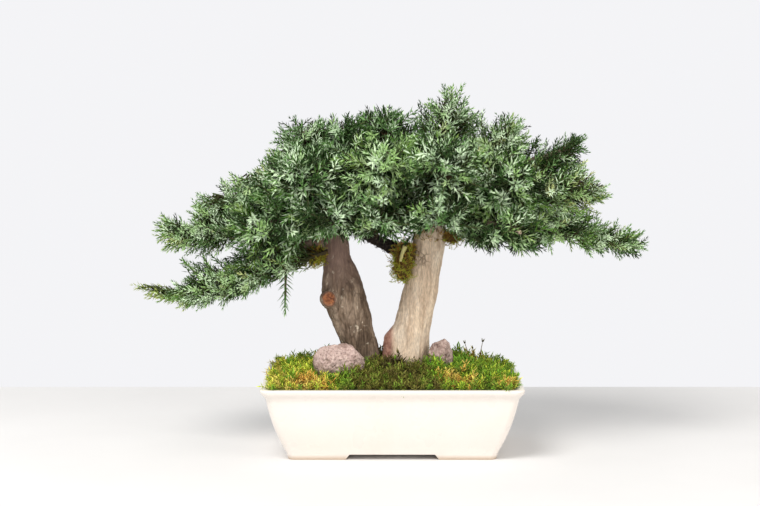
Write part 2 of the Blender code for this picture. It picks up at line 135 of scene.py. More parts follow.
for arch_half, turn in ((ARCH_FRONT, 0), (ARCH_SIDE, 90)):
    deselect()
    bpy.ops.mesh.primitive_cube_add(size=1, location=(0, 0, 0))
    arch = bpy.context.object
    arch.scale = (2 * arch_half, 0.3, 2 * FOOT_HEIGHT)
    bpy.ops.object.transform_apply(location=True, rotation=True, scale=True)
    bpy.ops.object.mode_set(mode="EDIT")
    pick_faces(arch, lambda face: face.normal.z < -0.9)
    slanted = ((arch_half + 2 * ARCH_SLANT) / arch_half, 1, 1)
    bpy.ops.transform.resize(value=slanted, center_override=(0, 0, 0))
    bpy.ops.mesh.select_all(action="SELECT")
    bpy.ops.transform.rotate(value=math.radians(turn), orient_axis="Z", center_override=(0, 0, 0))
    bpy.ops.object.mode_set(mode="OBJECT")
    cut_away(pot, arch)
for side in (-1, 1):
    deselect()
    bpy.ops.mesh.primitive_cylinder_add(
        vertices=40, radius=DRAIN_RADIUS, depth=24 * MM, location=(side * DRAIN_X, 0, 6 * MM)
    )
    cut_away(pot, bpy.context.object)

rounding = pot.modifiers.new("rounding", "BEVEL")
rounding.width = 0.7 * MM
rounding.segments = 3
rounding.limit_method = "ANGLE"
rounding.angle_limit = math.radians(38)
apply_modifiers(pot)
bpy.ops.object.shade_smooth_by_angle(angle=math.radians(32))


def new_material(name, roughness, specular=0.5):
    """A material whose Principled BSDF is ready to be fed, with its node tree and its shader."""
    made = bpy.data.materials.new(name)
    made.use_nodes = True
    tree = made.node_tree
    shader = tree.nodes["Principled BSDF"]
    shader.inputs["Roughness"].default_value = roughness
    shader.inputs["Specular IOR Level"].default_value = specular
    return made, tree, shader


def add_node(tree, kind, **values):
    """A shader node with some of its settings and sockets set. A key that names a setting sets it."""
    made = tree.nodes.new(kind)
    for key, value in values.items():
        if hasattr(made, key):
            setattr(made, key, value)
        else:
            made.inputs[key.replace("_", " ")].default_value = value
    return made


def add_ramp(tree, source, stops):
    """A colour ramp fed by source. stops are (position, grey level or colour)."""
    ramp = tree.nodes.new("ShaderNodeValToRGB")
    elements = ramp.color_ramp.elements
    while len(elements) < len(stops):
        elements.new(1.0)
    for element, (position, colour) in zip(elements, stops):
        element.position = position
        element.color = (colour, colour, colour, 1) if isinstance(colour, (int, float)) else (*colour, 1)
    tree.links.new(source, ramp.inputs["Fac"])
    return ramp.outputs["Color"]


def mix_colours(tree, factor, first, second, blend="MIX"):
    """A mix of two colours. Each may be an output or a plain colour, and factor an output or a number."""
    mix = tree.nodes.new("ShaderNodeMix")
    mix.data_type = "RGBA"
    mix.blend_type = blend
    for socket, value in ((mix.inputs[0], factor), (mix.inputs[6], first), (mix.inputs[7], second)):
        if isinstance(value, bpy.types.NodeSocket):
            tree.links.new(value, socket)
        elif isinstance(value, (int, float)):
            socket.default_value = value
        else:
            socket.default_value = (*value, 1)
    return mix.outputs[2]


def multiply(tree, first, second):
    """Two colours or masks multiplied together."""
    return mix_colours(tree, 1.0, first, second, "MULTIPLY")


def object_place(tree):
    """Where on the piece each point lies, in the frame's metres."""
    return add_node(tree, "ShaderNodeTexCoord").outputs["Object"]


def height_of(tree, place):
    split = add_node(tree, "ShaderNodeSeparateXYZ")
    tree.links.new(place, split.inputs[0])
    return split.outputs["Z"]


def add_cells(tree, place, scale, feature="F1"):
    """Cells over a piece, such as grains or the plates between cracks."""
    cells = add_node(tree, "ShaderNodeTexVoronoi", Scale=scale, feature=feature)
    tree.links.new(place, cells.inputs["Vector"])
    return cells


def squeeze(tree, place, stretch):
    mapping = add_node(tree, "ShaderNodeMapping", Scale=stretch)
    tree.links.new(place, mapping.inputs["Vector"])
    return mapping.outputs["Vector"]


def add_noise(tree, place, scale, detail=4.0, roughness=0.5, stretch=None):
    """Noise over a piece. stretch squeezes the pattern along each axis, as grain along a stem does."""
    if stretch:
        place = squeeze(tree, place, stretch)
    made = add_node(tree, "ShaderNodeTexNoise", Scale=scale, Detail=detail, Roughness=roughness)
    tree.links.new(place, made.inputs["Vector"])
    return made.outputs["Fac"]


def add_bump(tree, shader, height, strength, distance):
    """Feeds a bump to the shader, over any bump that it already has."""
    bump = add_node(tree, "ShaderNodeBump", Strength=strength, Distance=distance)
    tree.links.new(height, bump.inputs["Height"])
    normal = shader.inputs["Normal"]
    if normal.links:
        tree.links.new(normal.links[0].from_socket, bump.inputs["Normal"])
    tree.links.new(bump.outputs["Normal"], normal)


def finish_piece(obj, material, node_name):
    """Gives a piece its material, hangs it from the frame's root and hides the node that it stands for."""
    obj.data.materials.clear()
    obj.data.materials.append(material)
    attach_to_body(obj, "root")
    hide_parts(node_name)


glaze, tree, shader = new_material("cream_glaze", 0.3)
place = object_place(tree)
cloudy = add_noise(tree, place, 24, detail=3)
colour = add_ramp(tree, cloudy, ((0.3, (0.85, 0.785, 0.715)), (0.7, (0.88, 0.82, 0.765))))
specks = add_noise(tree, place, 900, detail=2)
colour = mix_colours(tree, add_ramp(tree, specks, ((0.70, 0), (0.78, 0.35))), colour, (0.62, 0.52, 0.38))
height = height_of(tree, place)
lip_line = add_ramp(tree, height, ((0.0505, 0), (0.0530, 1)))
lip_wear = multiply(tree, lip_line, add_ramp(tree, cloudy, ((0.4, 0.1), (0.6, 0.5))))
colour = mix_colours(tree, lip_wear, colour, (0.80, 0.72, 0.60))
bare = add_ramp(tree, height, ((0.0002, 1), (0.0012, 0)))
colour = mix_colours(tree, bare, colour, (0.55, 0.42, 0.30))
tree.links.new(colour, shader.inputs["Base Color"])
gloss = add_ramp(tree, add_noise(tree, place, 60, detail=2), ((0.3, 0.24), (0.7, 0.38)))
tree.links.new(mix_colours(tree, bare, gloss, (0.85, 0.85, 0.85)), shader.inputs["Roughness"])
shader.inputs["Coat Weight"].default_value = 0.25
shader.inputs["Coat Roughness"].default_value = 0.12
add_bump(tree, shader, add_noise(tree, place, 120, detail=2), 0.25, 0.0006)
add_bump(tree, shader, specks, 0.15, 0.0002)
finish_piece(pot, glaze, "pot")

# ---------------------------------------------------------------------------------------------------------
# The drain screens and the soil. A square of moulded plastic mesh lies over each drain hole, and the coarse
# potting mix is poured over it and heaped in the middle. Both keep their shape from the frame.
# ---------------------------------------------------------------------------------------------------------

plastic, tree, shader = new_material("screen_plastic", 0.55)
place = object_place(tree)
scuffs = add_noise(tree, place, 400, detail=4)
colour = add_ramp(tree, scuffs, ((0.4, (0.012, 0.03, 0.015)), (0.7, (0.03, 0.06, 0.03))))
tree.links.new(colour, shader.inputs["Base Color"])
add_bump(tree, shader, scuffs, 0.3, 0.0002)

earth, tree, shader = new_material("potting_soil", 0.95, 0.2)
place = object_place(tree)
grains = add_cells(tree, place, 420)
grain_kind = add_node(tree, "ShaderNodeSeparateColor")
tree.links.new(grains.outputs["Color"], grain_kind.inputs[0])
colour = add_ramp(
    tree,
    grain_kind.outputs[0],
    (
        (0.0, (0.018, 0.011, 0.006)), (0.5, (0.05, 0.03, 0.016)),
        (0.85, (0.10, 0.065, 0.035)), (0.95, (0.3, 0.27, 0.22)),
    ),
)
tree.links.new(colour, shader.inputs["Base Color"])
add_bump(tree, shader, grains.outputs["Distance"], 0.8, 0.001)

for node_name, material in (("drain_screen_left", plastic), ("drain_screen_right", plastic), ("soil", earth)):
    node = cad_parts[node_name]
    node.data.materials.clear()
    node.data.materials.append(material)

# ---------------------------------------------------------------------------------------------------------
# The stones. Two lumps of porous pinkish-grey stone, broken rather than worn, bedded in the soil beside the
# trunks. The left one is broad with a ledge, and the right one stands up.
# ---------------------------------------------------------------------------------------------------------


def frame_copy(node_name, piece_name):
    """A piece of its own with the shape of a node, its loose triangles joined up."""
    piece = bpy.data.objects.new(piece_name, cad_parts[node_name].data.copy())
    bpy.context.scene.collection.objects.link(piece)
    make_active(piece)
    bpy.ops.object.mode_set(mode="EDIT")
    bpy.ops.mesh.select_all(action="SELECT")
    bpy.ops.mesh.remove_doubles(threshold=0.01 * MM)
    bpy.ops.object.mode_set(mode="OBJECT")
    return piece


def remesh(obj, voxel, smoothing):
    """Rebuilds the skin in even faces, and relaxes it so that no flat facets stay."""
    even = obj.modifiers.new("even", "REMESH")
    even.mode = "VOXEL"
    even.voxel_size = voxel
    relaxed = obj.modifiers.new("relaxed", "SMOOTH")
    relaxed.iterations = smoothing
    relaxed.factor = 0.5
    apply_modifiers(obj)


def displace(obj, kind, size, strength, middle=0.5, **settings):
    """Moves the skin in and out by one of the built-in textures."""
    texture = bpy.data.textures.new(f"{obj.name}_{kind.lower()}", kind)
    texture.noise_scale = size
    for key, value in settings.items():
        setattr(texture, key, value)
    moved = obj.modifiers.new("displaced", "DISPLACE")
    moved.texture = texture
    moved.texture_coords = "LOCAL"
    moved.strength = strength
    moved.mid_level = middle
    apply_modifiers(obj)


stone_finish, tree, shader = new_material("pink_grey_stone", 0.9, 0.3)
place = object_place(tree)
patches = add_noise(tree, place, 70, detail=6, roughness=0.65)
colour = add_ramp(
    tree,
    patches,
    (
        (0.32, (0.16, 0.095, 0.08)), (0.44, (0.36, 0.25, 0.215)),
        (0.56, (0.54, 0.40, 0.36)), (0.70, (0.26, 0.19, 0.175)),
    ),
)
mineral = add_noise(tree, place, 520, detail=3)
colour = mix_colours(tree, add_ramp(tree, mineral, ((0.54, 0), (0.62, 0.45))), colour, (0.70, 0.55, 0.48))
colour = mix_colours(tree, add_ramp(tree, mineral, ((0.34, 0.5), (0.44, 0))), colour, (0.17, 0.10, 0.085))
pits = add_cells(tree, place, 430)
pit_mask = add_ramp(tree, pits.outputs["Distance"], ((0.05, 1), (0.32, 0)))
colour = mix_colours(tree, multiply(tree, pit_mask, (0.8, 0.8, 0.8)), colour, (0.12, 0.075, 0.065))
# Darker towards the stone's foot, below a height of 68 mm.
stone_foot_darkening = add_ramp(tree, height_of(tree, place), ((0.058, 0.75), (0.068, 0)))
colour = mix_colours(tree, stone_foot_darkening, colour, (0.12, 0.095, 0.06))
tree.links.new(colour, shader.inputs["Base Color"])
add_bump(tree, shader, patches, 0.8, 0.0016)
add_bump(tree, shader, pits.outputs["Distance"], 0.8, 0.0008)

for node_name, piece_name in (("stone_left", "rough_stone_left"), ("stone_right", "rough_stone_right")):
    stone = frame_copy(node_name, piece_name)
    remesh(stone, 0.55 * MM, 5)
    displace(stone, "VORONOI", 9 * MM, 2.2 * MM, distance_metric="DISTANCE_SQUARED")
    displace(stone, "CLOUDS", 4 * MM, 2.0 * MM, noise_depth=5)
    displace(stone, "STUCCI", 1.4 * MM, 0.7 * MM)
    bpy.ops.object.shade_smooth()
    finish_piece(stone, stone_finish, node_name)

# ---------------------------------------------------------------------------------------------------------
# The trunks. Two stems of juniper wood, each grown together with its limbs. The left one leans outwards and
# is darker, with an old knot on its shoulder; the right one is paler and fibrous, flares into a root at its
# foot, and throws a dark dead limb across to the left under the foliage. The limb's near-black colour is
# partly painted shade.
# ---------------------------------------------------------------------------------------------------------

HANGING_LIMB = Vector((-78, -17.5, 0)) * MM
KNOT = Vector((-46.0, -13.5, 113.5)) * MM
WOUND = Vector((22, -14, 143.5)) * MM
DEAD_LIMB = [Vector(point) * MM for point in ((18, 6, 142), (4, 15, 147), (-16, 19, 156), (-30, 20, 166))]


def near_line(point, line):
    """How far a point is from a line of several points."""
    nearest = 1.0
    for start, end in zip(line, line[1:]):
        along = end - start
        share = min(max((point - start).dot(along) / along.length_squared, 0), 1)
        nearest = min(nearest, (point - start - along * share).length)
    return nearest


def ease(value, low, high):
    share = min(max((value - low) / (high - low), 0), 1)
    return share * share * (3 - 2 * share)


def bark_relief(point, coarse, fine, plates):
    """The height of the bark: ridges that run up the stem, broken into plates."""
    stretched = Vector((point.x, point.y, point.z * 0.22))
    ridges = noise.noise(stretched / (5.5 * MM)) + 0.5 * noise.noise(stretched / (2.6 * MM))
    strands = noise.noise(Vector((point.x, point.y, point.z * 0.10)) / (1.3 * MM))
    broken = noise.noise(Vector((point.x, point.y, point.z * 0.6)) / (4.2 * MM))
    lumps = noise.noise(point / (14 * MM))
    return 1.1 * MM * lumps + coarse * ridges + fine * strands + plates * min(abs(broken) * 4, 1)


def add_number(obj, name, values, domain="POINT"):
    """Keeps a number on each point or face of a piece, for its material to read."""
    obj.data.attributes.new(name, "FLOAT", domain).data.foreach_set("value", values)


def read_skin(obj):
    """The points of a mesh and their normals, all read before anything moves."""
    normals = [normal.vector.copy() for normal in obj.data.vertex_normals]
    return [vertex.co.copy() for vertex in obj.data.vertices], normals


def write_points(obj, points):
    obj.data.vertices.foreach_set("co", np.array(points, dtype=np.float32).reshape(-1))
    obj.data.update()


def shape_trunk(obj, coarse, fine, plates):
    remesh(obj, 0.85 * MM, 5)
    skin = zip(*read_skin(obj))
    write_points(obj, [at + out * bark_relief(at, coarse, fine, plates) for at, out in skin])


left_trunk = frame_copy("left_trunk", "left_trunk_wood")
shape_trunk(left_trunk, 0.42 * MM, 0.26 * MM, 0.38 * MM)
carved, knot_shares = [], []
for at, out in zip(*read_skin(left_trunk)):
    away = (at - KNOT).length
    knot = ease(away, 8.0 * MM, 3.0 * MM)
    ring = math.exp(-(((away - 4.9 * MM) / (1.3 * MM)) ** 2))
    # The limb that hangs is only as thick as the shoot that it ends in.
    if (Vector((at.x, at.y, 0)) - HANGING_LIMB).length < 7 * MM:
        slimming = 0.65 * ease(at.z, 141 * MM, 134 * MM)
        at = at.lerp(Vector((HANGING_LIMB.x, HANGING_LIMB.y, at.z)), slimming)
    carved.append(at + out * (1.2 * MM * ring + 0.7 * MM * knot * noise.noise(at / (1.5 * MM))))
    knot_shares.append(ease(away, 5.6 * MM, 3.4 * MM))
write_points(left_trunk, carved)
add_number(left_trunk, "knot", knot_shares)

right_trunk = frame_copy("right_trunk", "right_trunk_wood")
shape_trunk(right_trunk, 0.34 * MM, 0.32 * MM, 0.22 * MM)
carved, dark_limb_in_shade_shares, torn_shares = [], [], []
for at, out in zip(*read_skin(right_trunk)):
    # Over the dead limb the bark frays, and its colour is painted near black, partly as painted shade under
    # the foliage.
    dark_limb_in_shade = ease(near_line(at, DEAD_LIMB), 11 * MM, 7.5 * MM)
    dark_limb_in_shade *= ease(at.x + 6 * MM * noise.noise(at / (4 * MM)), 19 * MM, 2 * MM)
    frayed = noise.noise(at / (1.7 * MM)) + 0.7 * abs(noise.noise(at / (3.6 * MM)))
    carved.append(at + out * 1.3 * MM * dark_limb_in_shade * frayed)
    dark_limb_in_shade_shares.append(dark_limb_in_shade)
    # The root flare was torn off on its left side, and shows its reddish wood there.
    torn_shares.append(ease(at.x, 3 * MM, -2 * MM) * ease(at.z, 98 * MM, 90 * MM))
write_points(right_trunk, carved)
add_number(right_trunk, "dark_limb_in_shade", dark_limb_in_shade_shares)
add_number(right_trunk, "torn", torn_shares)

for trunk in (left_trunk, right_trunk):
    make_active(trunk)
    bpy.ops.object.shade_smooth()


def make_bark_group():
    """Bark: colours that run up the stem in strands, with cracks, pale flecks and a darker foot."""
    group = bpy.data.node_groups.new("bark_pattern", "ShaderNodeTree")
    for kind, names in (
        ("NodeSocketVector", ("Place",)),
        ("NodeSocketColor", ("Dark", "Middle", "Pale", "Fleck")),
        ("NodeSocketFloat", ("Flecks", "Cracks", "Foot Height")),
    ):
        for name in names:
            group.interface.new_socket(name, in_out="INPUT", socket_type=kind)
    group.interface.new_socket("Color", in_out="OUTPUT", socket_type="NodeSocketColor")
    group.interface.new_socket("Relief", in_out="OUTPUT", socket_type="NodeSocketFloat")
    taken = group.nodes.new("NodeGroupInput")
    given = group.nodes.new("NodeGroupOutput")
    place = taken.outputs["Place"]
    strands = add_noise(group, place, 420, detail=6, roughness=0.62, stretch=(1, 1, 0.10))
    bands = add_noise(group, place, 110, detail=5, roughness=0.55, stretch=(1, 1, 0.35))
    patches = add_noise(group, place, 34, detail=3)
    strand_mask = add_ramp(group, strands, ((0.36, 0), (0.62, 1)))
    blended = mix_colours(group, strand_mask, taken.outputs["Dark"], taken.outputs["Middle"])
    band_mask = add_ramp(group, bands, ((0.46, 0), (0.68, 1)))
    patch_mask = add_ramp(group, patches, ((0.35, 0.25), (0.65, 1)))
    blended = mix_colours(group, multiply(group, band_mask, patch_mask), blended, taken.outputs["Pale"])
    flecks = add_noise(group, place, 260, detail=2, stretch=(1, 1, 0.8))
    fleck_mask = multiply(group, add_ramp(group, flecks, ((0.66, 0), (0.74, 1))), taken.outputs["Flecks"])
    blended = mix_colours(group, fleck_mask, blended, taken.outputs["Fleck"])
    cracks = add_cells(group, squeeze(group, place, (1, 1, 0.22)), 230, "DISTANCE_TO_EDGE")
    crack_mask = add_ramp(group, cracks.outputs["Distance"], ((0.0, 0.7), (0.09, 0)))
    crack_mask = multiply(group, crack_mask, taken.outputs["Cracks"])
    blended = mix_colours(group, crack_mask, blended, taken.outputs["Dark"])
    foot = add_node(group, "ShaderNodeMapRange", From_Min=0.060, To_Min=0.55, To_Max=0.0)
    group.links.new(height_of(group, place), foot.inputs["Value"])
    group.links.new(taken.outputs["Foot Height"], foot.inputs["From Max"])
    blended = mix_colours(group, foot.outputs["Result"], blended, (0.035, 0.026, 0.018))
    grain = add_noise(group, place, 1100, detail=3, stretch=(1, 1, 0.3))
    blended = multiply(group, blended, add_ramp(group, grain, ((0.3, 0.72), (0.7, 1.12))))
    group.links.new(blended, given.inputs["Color"])
    relief = add_node(group, "ShaderNodeMath", operation="MULTIPLY_ADD")
    relief.inputs[1].default_value = 0.7
    group.links.new(strands, relief.inputs[0])
    group.links.new(cracks.outputs["Distance"], relief.inputs[2])
    group.links.new(relief.outputs[0], given.inputs["Relief"])
    return group


bark_pattern = make_bark_group()


def new_bark(name, settings):
    """A bark material from the pattern. Returns it with its tree, its shader and its colour so far."""
    made, tree, shader = new_material(name, 0.85, 0.25)
    group = tree.nodes.new("ShaderNodeGroup")
    group.node_tree = bark_pattern
    tree.links.new(object_place(tree), group.inputs["Place"])
    for key, value in settings.items():
        group.inputs[key].default_value = value
    add_bump(tree, shader, group.outputs["Relief"], 0.7, 0.0009)
    return made, tree, shader, group.outputs["Color"]


def read_attribute(tree, name):
    return add_node(tree, "ShaderNodeAttribute", attribute_name=name).outputs["Fac"]


grey_bark, tree, shader, colour = new_bark(
    "grey_brown_bark",
    {
        "Dark": (0.075, 0.05, 0.033, 1), "Middle": (0.23, 0.16, 0.11, 1), "Pale": (0.46, 0.35, 0.26, 1),
        "Fleck": (0.74, 0.64, 0.50, 1), "Flecks": 0.9, "Cracks": 0.8, "Foot Height": 0.078,
    },
)
place = object_place(tree)
height = height_of(tree, place)
blush = add_ramp(tree, height, ((0.118, 0), (0.142, 0.45)))
colour = mix_colours(tree, blush, colour, (0.42, 0.27, 0.23))
# The knot: a dark ring round a rusty red face.
knot = read_attribute(tree, "knot")
dark_ring = add_ramp(tree, knot, ((0.0, 0), (0.25, 0.8), (0.9, 0)))
colour = mix_colours(tree, dark_ring, colour, (0.10, 0.04, 0.03))
rust = add_noise(tree, place, 500, detail=4)
rust_colour = add_ramp(tree, rust, ((0.35, (0.13, 0.045, 0.025)), (0.65, (0.42, 0.16, 0.065))))
colour = mix_colours(tree, knot, colour, rust_colour)
shaded = add_ramp(tree, height, ((0.150, 0), (0.170, 0.8)))
colour = mix_colours(tree, shaded, colour, (0.045, 0.030, 0.020))
tree.links.new(colour, shader.inputs["Base Color"])
finish_piece(left_trunk, grey_bark, "left_trunk")

tan_bark, tree, shader, colour = new_bark(
    "tan_bark",
    {
        "Dark": (0.56, 0.41, 0.29, 1), "Middle": (0.88, 0.70, 0.52, 1), "Pale": (0.97, 0.84, 0.68, 1),
        "Fleck": (0.97, 0.88, 0.75, 1), "Flecks": 0.4, "Cracks": 0.35, "Foot Height": 0.064,
    },
)
place = object_place(tree)
# The dead limb is painted near black, partly as painted shade under the foliage; the torn root flare shows
# reddish wood.
for attribute, scale, stops in (
    ("dark_limb_in_shade", 600, ((0.4, (0.012, 0.009, 0.008)), (0.7, (0.06, 0.045, 0.035)))),
    ("torn", 350, ((0.35, (0.24, 0.11, 0.08)), (0.65, (0.50, 0.28, 0.21)))),
):
    limb_shade_and_torn_wood = add_ramp(tree, add_noise(tree, place, scale, detail=4), stops)
    colour = mix_colours(tree, read_attribute(tree, attribute), colour, limb_shade_and_torn_wood)
# A healed crack wrinkles the bark below the crown.
wound = add_node(tree, "ShaderNodeVectorMath", operation="DISTANCE")
tree.links.new(place, wound.inputs[0])
wound.inputs[1].default_value = WOUND
wrinkles = add_cells(tree, place, 240, "DISTANCE_TO_EDGE")
wound_mask = add_ramp(tree, wound.outputs["Value"], ((0.003, 0.8), (0.008, 0)))
crack_mask = add_ramp(tree, wrinkles.outputs["Distance"], ((0.03, 1), (0.16, 0)))
colour = mix_colours(tree, multiply(tree, wound_mask, crack_mask), colour, (0.10, 0.055, 0.03))
shaded = add_ramp(tree, height_of(tree, place), ((0.160, 0), (0.180, 0.85)))
colour = mix_colours(tree, shaded, colour, (0.055, 0.036, 0.024))
tree.links.new(colour, shader.inputs["Base Color"])
finish_piece(right_trunk, tan_bark, "right_trunk")

# ---------------------------------------------------------------------------------------------------------
# The moss. Living cushions laid over the soil in sheets that meet at the trunks: upright star-shaped shoots,
# yellow-green on the left and fresh green on the right, with older olive and tan feathery strands between.
# ---------------------------------------------------------------------------------------------------------

TINTS = 16  # how many shades a plant material keeps apart


def read_shape(obj):
    """The points and triangles of a mesh."""
    obj.data.calc_loop_triangles()
    faces = np.array([triangle.vertices for triangle in obj.data.loop_triangles])
    return np.array([vertex.co for vertex in obj.data.vertices]), faces


def unit(vectors):
    return vectors / np.maximum(np.linalg.norm(vectors, axis=-1, keepdims=True), 1e-12)


def turned_axes(along, facing):
    """Axes for copies whose Z runs along and whose -Y looks as near as it can to facing."""
    along = unit(along)
    back = unit(np.cross(np.cross(along, facing), along))
    return np.stack([np.cross(-back, along), -back, along], axis=1)


def stamp(shape, origins, axes, scales):
    """Copies of a shape: a dict with its points and faces, and what its material reads on them."""
    count, size = len(origins), len(shape["points"])
    points = np.einsum("pi,kij->kpj", shape["points"], axes) * np.reshape(scales, (-1, 1, 1))
    points = points + origins[:, None, :]
    faces = shape["faces"][None] + (np.arange(count) * size)[:, None, None]
    copies = {"points": points.reshape(-1, 3), "faces": faces.reshape(-1, 3)}
    for name in ("along", "across", "side"):
        copies[name] = np.tile(shape[name], count)
    return copies


def stamp_kinds(kinds, chosen, places, axes, scales, tints):
    """Copies of several kinds of shape, with a tint for each face. chosen says which kind goes where."""
    shapes, face_tints = [], []
    for index, kind in enumerate(kinds):
        mine = chosen == index
        if mine.any():
            shapes.append(stamp(kind, places[mine], axes[mine], scales[mine]))
            face_tints.append(np.repeat(tints[mine], len(kind["faces"])))
    return shapes, face_tints


def gather(shapes):
    """One shape of several."""
    counts = np.cumsum([0] + [len(shape["points"]) for shape in shapes])
    whole = {"faces": np.concatenate([shape["faces"] + count for shape, count in zip(shapes, counts)])}
    for name in ("points", "along", "across", "side"):
        whole[name] = np.concatenate([shape[name] for shape in shapes])
    return whole


def blade(radius, length, widest, flatness):
    """A leaf with three long sides: two edges and a keel. It grows along Z, its flat face towards -Y."""
    deselect()
    bpy.ops.mesh.primitive_cone_add(
        vertices=3,
        radius1=radius,
        depth=length * (1 - widest),
        end_fill_type="TRIFAN",
        location=(0, 0, length * (1 + widest) / 2),
    )
    leaf = bpy.context.object
    bpy.ops.object.transform_apply(location=True, rotation=True, scale=True)
    bpy.ops.object.mode_set(mode="EDIT")
    bpy.ops.transform.resize(value=(1, flatness, 1), center_override=(0, 0, 0))
    bpy.ops.mesh.select_mode(type="VERT")
    bpy.ops.mesh.select_all(action="DESELECT")
    shape = bmesh.from_edit_mesh(leaf.data)
    for vertex in shape.verts:
        at_middle = math.hypot(vertex.co.x, vertex.co.y) < radius * 0.05
        vertex.select_set(at_middle and vertex.co.z < length * (widest + 0.05))
    shape.select_flush_mode()
    bmesh.update_edit_mesh(leaf.data)
    bpy.ops.transform.translate(value=(0, 0, -length * widest))
    bpy.ops.object.mode_set(mode="OBJECT")
    points, faces = read_shape(leaf)
    bpy.data.objects.remove(leaf)
    corners = points[faces]
    normals = np.cross(corners[:, 1] - corners[:, 0], corners[:, 2] - corners[:, 0])
    return {
        "points": points,
        "faces": faces,
        "along": points[:, 2] / length,
        "across": 0.5 + 0.5 * points[:, 0] / np.abs(points[:, 0]).max(),
        "side": 0.5 * (unit(normals)[:, 1] < -0.5),
    }


def stem(line, radii, sides=3):
    """A closed tapering stalk along a line of points, as a shape whose side is 1."""
    line = np.asarray(line, float)
    ahead = unit(np.gradient(line, axis=0))
    seed = np.where(np.abs(ahead[:, :1]) < 0.8, [[1.0, 0, 0]], [[0, 1.0, 0]])
    first = unit(np.cross(ahead, seed))
    second = np.cross(ahead, first)
    turns = 2 * np.pi * np.arange(sides) / sides
    rings = line[:, None] + np.asarray(radii)[:, None, None] * (
        np.cos(turns)[None, :, None] * first[:, None] + np.sin(turns)[None, :, None] * second[:, None]
    )
    points = np.concatenate([rings.reshape(-1, 3), line[:1], line[-1:]])
    faces = []
    for ring in range(len(line) - 1):
        for corner in range(sides):
            here, there = ring * sides + corner, ring * sides + (corner + 1) % sides
            faces += [(here, there, there + sides), (here, there + sides, here + sides)]
    last = (len(line) - 1) * sides
    for corner in range(sides):
        beside = (corner + 1) % sides
        faces += [(len(points) - 2, beside, corner), (len(points) - 1, last + corner, last + beside)]
    along = np.concatenate([np.repeat(np.linspace(0, 1, len(line)), sides), [0, 1]])
    across = np.concatenate([np.tile(np.linspace(0, 1, sides), len(line)), [0.5, 0.5]])
    return {
        "points": points,
        "faces": np.array(faces),
        "along": along,
        "across": across,
        "side": np.ones(len(faces)),
    }


def plant_mesh(name, shapes, tints):
    """A piece from shapes and the tints of their faces. Its map keeps every shade in its own column."""
    whole = gather(shapes)
    tints = np.clip((np.concatenate(tints) * TINTS).astype(int), 0, TINTS - 1)
    mesh = bpy.data.meshes.new(name)
    mesh.from_pydata(whole["points"], [], whole["faces"])
    piece = bpy.data.objects.new(name, mesh)
    bpy.context.scene.collection.objects.link(piece)
    add_number(piece, "along", whole["along"].astype(np.float32))
    add_number(piece, "side", whole["side"].astype(np.float32), "FACE")
    add_number(piece, "tint", ((tints + 0.5) / TINTS).astype(np.float32), "FACE")
    corners = whole["faces"].reshape(-1)
    column = np.repeat(tints + 0.05 + 0.6 * whole["side"], 3)
    across = (column + 0.25 * whole["across"][corners]) / TINTS
    uv = np.stack([across, 0.05 + 0.9 * whole["along"][corners]], axis=1)
    mesh.uv_layers.new(name="OFBake").data.foreach_set("uv", uv.reshape(-1).astype(np.float32))
    return piece


def skin_shape(obj, along, rng):
    """The skin of a mesh as a shape, so that what grows on it joins it in one piece."""
    points, faces = read_shape(obj)
    return {
        "points": points,
        "faces": faces,
        "along": np.full(len(points), along),
        "across": rng.random(len(points)),
        "side": np.zeros(len(faces)),
    }


def scatter(obj, count, rng, least_up):
    """Random points on the parts of a piece that face up, with their normals."""
    points, faces = read_shape(obj)
    points = points[faces]
    crossed = np.cross(points[:, 1] - points[:, 0], points[:, 2] - points[:, 0])
    areas = np.linalg.norm(crossed, axis=1)
    weights = areas * (unit(crossed)[:, 2] > least_up)
    chosen = rng.choice(len(faces), size=count, p=weights / weights.sum())
    first, second = np.sqrt(rng.random(count)), rng.random(count)
    shares = np.stack([1 - first, first * (1 - second), first * second], axis=1)
    return np.einsum("kc,kci->ki", shares, points[chosen]), unit(crossed[chosen])


moss_rng = np.random.default_rng(11)
star_leaf = blade(0.42 * MM, 2.7 * MM, 0.35, 0.5)
feather_leaf = blade(0.30 * MM, 1.6 * MM, 0.35, 0.5)


def moss_star(height, leaves):
    """An upright shoot: narrow leaves all up a thin stalk, opening into a star at its top."""
    shares = np.linspace(0.12, 1, leaves)
    turns = shares * leaves * 2.4
    opening = np.radians(68 - 30 * shares)
    outward = np.stack([np.cos(turns), np.sin(turns), 0 * turns], axis=1)
    up = np.array([[0, 0, 1.0]])
    along = np.sin(opening)[:, None] * outward + np.cos(opening)[:, None] * up
    facing = np.cos(opening)[:, None] * -outward + np.sin(opening)[:, None] * up
    origins = np.stack([0 * shares, 0 * shares, shares * height], axis=1)
    leaves = stamp(star_leaf, origins, turned_axes(along, facing), 0.7 + 0.5 * shares)
    stalk = stem([(0, 0, -1.2 * MM), (0, 0, height)], [0.2 * MM, 0.12 * MM])
    return gather([leaves, stalk])


def moss_feather(length, leaves, bend):
    """A strand that arches over, with short leaves along both sides."""
    shares = np.linspace(0, 1, leaves)
    arc = shares * bend
    radius = length / bend
    line = np.stack([radius * (1 - np.cos(arc)), 0 * arc, radius * np.sin(arc)], axis=1)
    ahead = np.stack([np.sin(arc), 0 * arc, np.cos(arc)], axis=1)
    turns = np.arange(leaves) * 2.2
    upward = np.stack([-np.cos(arc), 0 * arc, np.sin(arc)], axis=1)
    sideways = np.tile([[0, 1.0, 0]], (leaves, 1))
    outward = np.cos(turns)[:, None] * upward + np.sin(turns)[:, None] * sideways
    along = 0.75 * ahead + 0.66 * outward
    leaves = stamp(feather_leaf, line, turned_axes(along, ahead - 0.6 * outward), 1.15 - 0.45 * shares)
    return gather([leaves, stem(line[::3], np.full(len(line[::3]), 0.13 * MM))])


